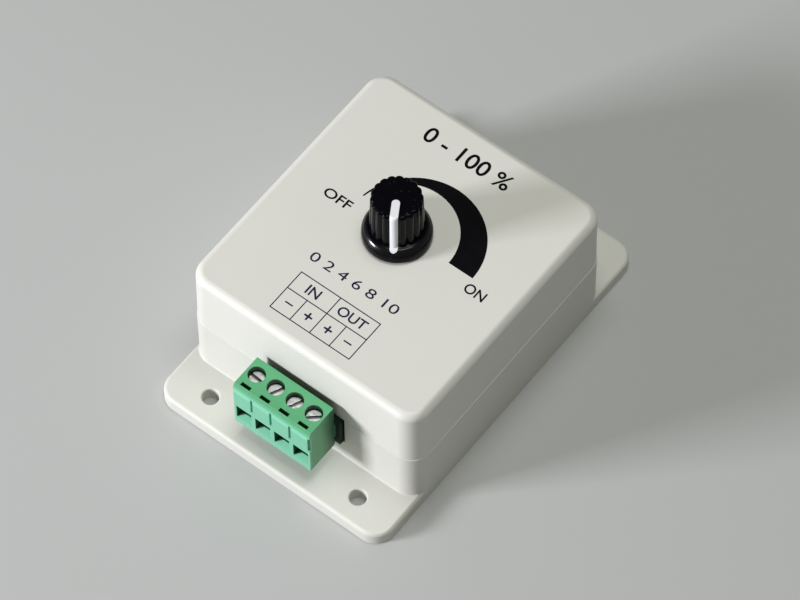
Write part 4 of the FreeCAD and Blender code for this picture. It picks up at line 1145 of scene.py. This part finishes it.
# %% [markdown]
# The brightness band is a disc with a smaller disc cut out of it. The smaller one is set off its
# centre, which makes the band swell from a hairline to its full width, and two blocks trim its ends.

# %% Brightness band
BAND_OUT = ((2.4, 2.6), 15.5)
BAND_IN = ((-0.6, 2.6), 12.2)
BAND_START = 4.8
BAND_END = 2.6
low, high = ink_levels
band = rod("brightness_band", BAND_OUT[0], BAND_OUT[1], low, high, 192)
combine(band, "DIFFERENCE", rod("band_inside", BAND_IN[0], BAND_IN[1], low - PAST, high + PAST, 192),
        block("below_end", (0, -side, low - PAST), (side, BAND_END, high + PAST)),
        block("below_start", (-side, -side, low - PAST), (0, BAND_START, high + PAST)))
settle(band, "case", ink_black)

# %% [markdown]
# The wording is plain: OFF and ON, IN and OUT with plus and minus signs, and numbers for a dial. A text
# object knows its letters but not its size on the lid, so it is made a mesh first and then scaled to
# the height and width that the print has.

# %% Lettering
STROKE = 0.012


def lettering(name, words, centre, tall, wide, ink, weight=STROKE):
    """Printed words of a given height and width, centred at a place. Weight thickens their strokes."""
    bpy.ops.object.select_all(action="DESELECT")
    bpy.ops.object.text_add()
    piece = bpy.context.object
    piece.data.body = words
    piece.data.extrude = INK
    piece.data.offset = weight
    piece.data.resolution_u = 6
    bpy.ops.object.convert(target="MESH")
    piece = named(name)
    places = [corner.co for corner in piece.data.vertices]
    low = Vector(min(place[axis] for place in places) for axis in range(3))
    high = Vector(max(place[axis] for place in places) for axis in range(3))
    span = high - low
    piece.data.transform(Matrix.Translation(-(low + high) / 2))
    piece.scale = (wide / span.x, tall / span.y, 1)
    piece.location = (*centre, roof)
    edit(piece)
    bpy.ops.mesh.remove_doubles(threshold=NEAR / 100)
    close()
    only(piece)
    bpy.ops.object.transform_apply(location=True, scale=True)
    settle(piece, "case", ink)


middle_x = -0.9
lettering("scale_words", "0 - 100 %", (middle_x, 25.6), 4.0, 22.3, ink_black)
lettering("off_word", "OFF", (-16.55, 1.0), 2.4, 6.9, ink_black)
lettering("on_word", "ON", (20.4, 0.2), 2.5, 5.0, ink_black)
lettering("dial_numbers", "0 2 4 6 8 10", (middle_x, -13.3), 2.4, 22.9, ink_navy, 0.0)

# %% [markdown]
# The terminal table is a thin frame of lines. Drawn by hand it would be ten bars. Here a plane is cut
# by bisects where the lines run, and a wireframe modifier turns every edge into a bar of even width.

# %% Terminal table
TABLE_SIDE = 10.45
TABLE_LOW = -28.5
TABLE_TOP = -17.9
TABLE_MID = -22.65
TABLE_STEP = 5.2
LINE = 0.25


def terminal_table():
    centre_y = (TABLE_LOW + TABLE_TOP) / 2
    bpy.ops.object.select_all(action="DESELECT")
    bpy.ops.mesh.primitive_plane_add(size=1, location=(middle_x, centre_y, roof))
    table = named("terminal_table")
    table.scale = (2 * TABLE_SIDE, TABLE_TOP - TABLE_LOW, 1)
    bpy.ops.object.transform_apply(location=True, scale=True)
    edit(table)
    cuts = [((middle_x, TABLE_MID), (0, 1, 0), TABLE_TOP), ((middle_x, 0), (1, 0, 0), TABLE_TOP)]
    cuts += [((middle_x + sign * TABLE_STEP, 0), (1, 0, 0), TABLE_MID) for sign in (-1, 1)]
    for place, way, below in cuts:
        choose(table, "FACE", lambda face: face.calc_center_median().y < below)
        bpy.ops.mesh.bisect(plane_co=(*place, roof), plane_no=way)
    close()
    modify(table, "WIREFRAME", thickness=LINE, use_boundary=True, use_even_offset=True)
    edit(table)
    scale_about((middle_x, centre_y, roof), 1, 1, 2 * INK / LINE)
    close()
    settle(table, "case", ink_navy)


terminal_table()
lettering("in_word", "IN", (-6.3, -20.3), 2.4, 3.2, ink_navy)
lettering("out_word", "OUT", (4.0, -20.3), 2.4, 7.2, ink_navy)
marks = zip((-8.6, -3.5, 1.7, 6.9), ("minus", "plus", "plus", "minus"))
for number, (x, kind) in enumerate(marks, start=1):
    words, tall = ("+", 2.0) if kind == "plus" else ("-", 0.32)
    lettering(f"{kind}_mark_{number}", words, (x, -25.6), tall, 2.0, ink_navy)

# %% [markdown]
# What is inside the case keeps its shape from the frame. Each material still gets what makes it what
# it is: tracks under the board's green mask, brushed lines on aluminium, bands on the resistors.

# %% Board, resistors and capacitors
MASK = (0.010, 0.120, 0.040)
MASK_OVER_COPPER = (0.025, 0.200, 0.060)
TRACK_STEP = 2.54


def board_finish():
    """Green mask with paler tracks where copper lies below it."""
    made = Finish("board_green", MASK, Coat_Weight=0.4)
    bent = made.noise(9.0, 1.0) * 6.0
    across = ((made.x + bent) / TRACK_STEP).part() - 0.5
    tracks = across.size().within(0.16, 0.04) * made.noise(7.0).within(0.52, 0.05)
    made.feed("Base Color", made.blend(tracks, MASK, MASK_OVER_COPPER))
    made.feed("Roughness", 0.28 + 0.10 * made.noise(1.0))
    made.bump(tracks, 0.035)
    return made


RESISTOR_BLUE = (0.150, 0.400, 0.520)
BAND_RED = (0.350, 0.030, 0.020)
BAND_STEP = 1.15


def resistor_finish():
    """Blue lacquer with colour bands across the run of each resistor."""
    low, high = corners_of("resistors")
    made = Finish("resistor_blue", RESISTOR_BLUE, Coat_Weight=0.3)
    along = made.y - (low.y + high.y) / 2
    bands = (((along / BAND_STEP).part() - 0.5).size()).within(0.18, 0.06) * along.size().within(2.3, 0.1)
    made.feed("Base Color", made.blend(bands, RESISTOR_BLUE, BAND_RED))
    made.feed("Roughness", 0.28 + 0.12 * made.noise(0.8))
    made.bump(made.noise(0.7), 0.02)
    return made


SLEEVE = (0.012, 0.018, 0.060)
SLEEVE_STRIPE = (0.480, 0.500, 0.520)


def capacitor_finish():
    """Dark shrink sleeve with the pale stripe that marks the minus side."""
    made = Finish("capacitor_sleeve_blue", SLEEVE, Coat_Weight=0.25)
    low, high = corners_of("main_capacitor")
    stripe = (made.x - low.x).within(1.1, 0.08) * (made.z - low.z - 10).size().within(8.6, 0.1)
    made.feed("Base Color", made.blend(stripe, SLEEVE, SLEEVE_STRIPE))
    made.feed("Roughness", 0.24 + 0.14 * made.noise(1.6))
    made.bump(made.noise(2.0), 0.02)
    return made


# %% [markdown]
# The record gives each piece of the frame a material slot. So one table from slot to finish dresses
# every piece at once, and pieces that are alike on the real object stay alike.

# %% Finish of each kind of inner piece
finishes = {
    "case_plastic": ivory,
    "screw_steel": metal("plated_steel", ZINC, ZINC_DULL, 2.0, 0.32, 0.16, 0.4, 0.006),
    "board_laminate": board_finish(),
    "header_plastic": header_green,
    "plug_plastic": plug_green,
    "tinned_pins": metal("tin_plate", (0.70, 0.70, 0.66), (0.56, 0.56, 0.54), 1.2, 0.30, 0.16, 0.3, 0.006),
    "nickel": metal("nickel_plate", (0.60, 0.57, 0.51), (0.50, 0.47, 0.42), 2.5, 0.26, 0.14, 0.5, 0.005,
                    (1.0, 1.0, 6.0)),
    "phenolic": plastic("brown_laminate", (0.190, 0.085, 0.035), (0.250, 0.120, 0.050), 3.0, 0.50, 0.16,
                        0.4, 0.015),
    "wire_sleeve": plastic("red_wire_sleeve", (0.420, 0.020, 0.015), (0.330, 0.015, 0.012), 3.0, 0.42, 0.14,
                           0.5, 0.010),
    "aluminium": metal("brushed_aluminium", (0.66, 0.67, 0.68), (0.56, 0.57, 0.59), 6.0, 0.38, 0.18, 0.5,
                       0.012, (1.0, 1.0, 0.08)),
    "black_epoxy": plastic("black_epoxy_case", (0.013, 0.013, 0.015), (0.022, 0.022, 0.024), 3.0, 0.56,
                           0.16, 0.3, 0.020),
    "capacitor_sleeve": capacitor_finish(),
    "film_casing": plastic("dipped_red", (0.330, 0.028, 0.015), (0.400, 0.040, 0.022), 3.0, 0.26, 0.12,
                           1.2, 0.030, Coat_Weight=0.3),
    "resistor_coat": resistor_finish(),
    "knob_black": gloss_black,
    "pointer_white": pointer_white,
    "carrier_plastic": plastic("natural_nylon", (0.640, 0.610, 0.480), (0.700, 0.670, 0.560), 4.0, 0.44,
                               0.12, 0.5, 0.012),
    "contact_brass": metal("contact_brass_strip", (0.640, 0.470, 0.190), (0.540, 0.390, 0.160), 2.0, 0.30,
                           0.16, 0.5, 0.008, (1.0, 0.15, 1.0)),
}
for row in frame["record"]["subparts"]:
    node = frame["nodes"][row["node"]]
    node.data.materials.clear()
    node.data.materials.append(finishes[row["material_slot"]].material)

# %% [markdown]
# A plain studio is a pale floor that takes the object's shadow, and a world that is dim and pale. The
# surroundings alone would light the shaded side flatly, so they only keep it readable.

# %% Floor and surroundings
FLOOR_COLOUR = (0.49, 0.50, 0.49)
FLOOR_SIZE = 6.0
bpy.ops.object.select_all(action="DESELECT")
bpy.ops.mesh.primitive_plane_add(size=FLOOR_SIZE)
floor = named("studio_floor")
paper = Finish("pale_paper", FLOOR_COLOUR)
paper.feed("Roughness", 0.75 + 0.1 * paper.noise(4.0))
floor.data.materials.append(paper.material)
floor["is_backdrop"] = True

world = bpy.data.worlds.new("studio")
bpy.context.scene.world = world
world.use_nodes = True
sky = world.node_tree.nodes["Background"]
sky.inputs["Color"].default_value = (0.97, 1.00, 0.88, 1)
sky.inputs["Strength"].default_value = 0.12

# %% [markdown]
# Two lamps do the rest: a low soft key from the front left and a broad, even fill from above. The key
# gives the front its brightness, and lays the knob's shadow towards the back right. A lamp is placed
# by the way its light runs, because that is what a shadow in a photograph tells.

# %% Lamps
def lamp(name, size, watts, colour, way, far):
    """A square soft lamp that shines along a way onto the object."""
    target = Vector((0, 0, roof / 2)) * MM
    way = Vector(way).normalized()
    bpy.ops.object.light_add(type="AREA", location=target - way * far)
    light = bpy.context.object
    light.name = name
    light.data.shape = "SQUARE"
    light.data.size = size
    light.data.energy = watts
    light.data.color = colour
    light.rotation_mode = "QUATERNION"
    light.rotation_quaternion = way.to_track_quat("-Z", "Y")


lamp("key", 0.24, 10.8, (0.97, 0.96, 1.03), (0.559, 0.769, -0.309), 1.0)
lamp("fill", 0.50, 7.1, (1.0, 1.0, 0.98), (-0.04, -0.06, -0.99), 1.2)

# %% [markdown]
# The camera stands where the photographer stood, worked out from how the case's parallel edges run
# together. It is far away with a long lens, so the lines hardly converge, and it leans by less than a
# degree.

# %% Camera
AZIMUTH = math.radians(38.425)
ELEVATION = math.radians(58.875)
ROLL = math.radians(-0.697)
LENS = 213.07
FAR = 1006.1
AIM = Vector((2.540, -2.455, 17.6))
back = Vector((math.sin(AZIMUTH) * math.cos(ELEVATION), -math.cos(AZIMUTH) * math.cos(ELEVATION),
               math.sin(ELEVATION)))
level_right = Vector((math.cos(AZIMUTH), math.sin(AZIMUTH), 0))
level_up = back.cross(level_right)
right = level_right * math.cos(ROLL) + level_up * math.sin(ROLL)
up = back.cross(right)
bpy.ops.object.camera_add()
camera = bpy.context.object
camera.name = "photo_camera"
camera.data.lens = LENS
camera.data.sensor_width = 36.0
camera.data.clip_start = 0.05
camera.rotation_mode = "QUATERNION"
camera.rotation_quaternion = Matrix((right, up, back)).transposed().to_quaternion()
camera.location = (AIM + back * FAR) * MM
bpy.context.scene.camera = camera
bpy.context.scene.view_settings.view_transform = "Standard"

# %% [markdown]
# The dressed model has to be as large as the frame, no more and no less. Both boxes are written down to
# be compared.

# %% Sizes and the end
def plain(box):
    return [list(corner) for corner in box]


{"cad": plain(cad_box), "visual": plain(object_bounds())}
print("size:", plain(cad_box), plain(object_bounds()))
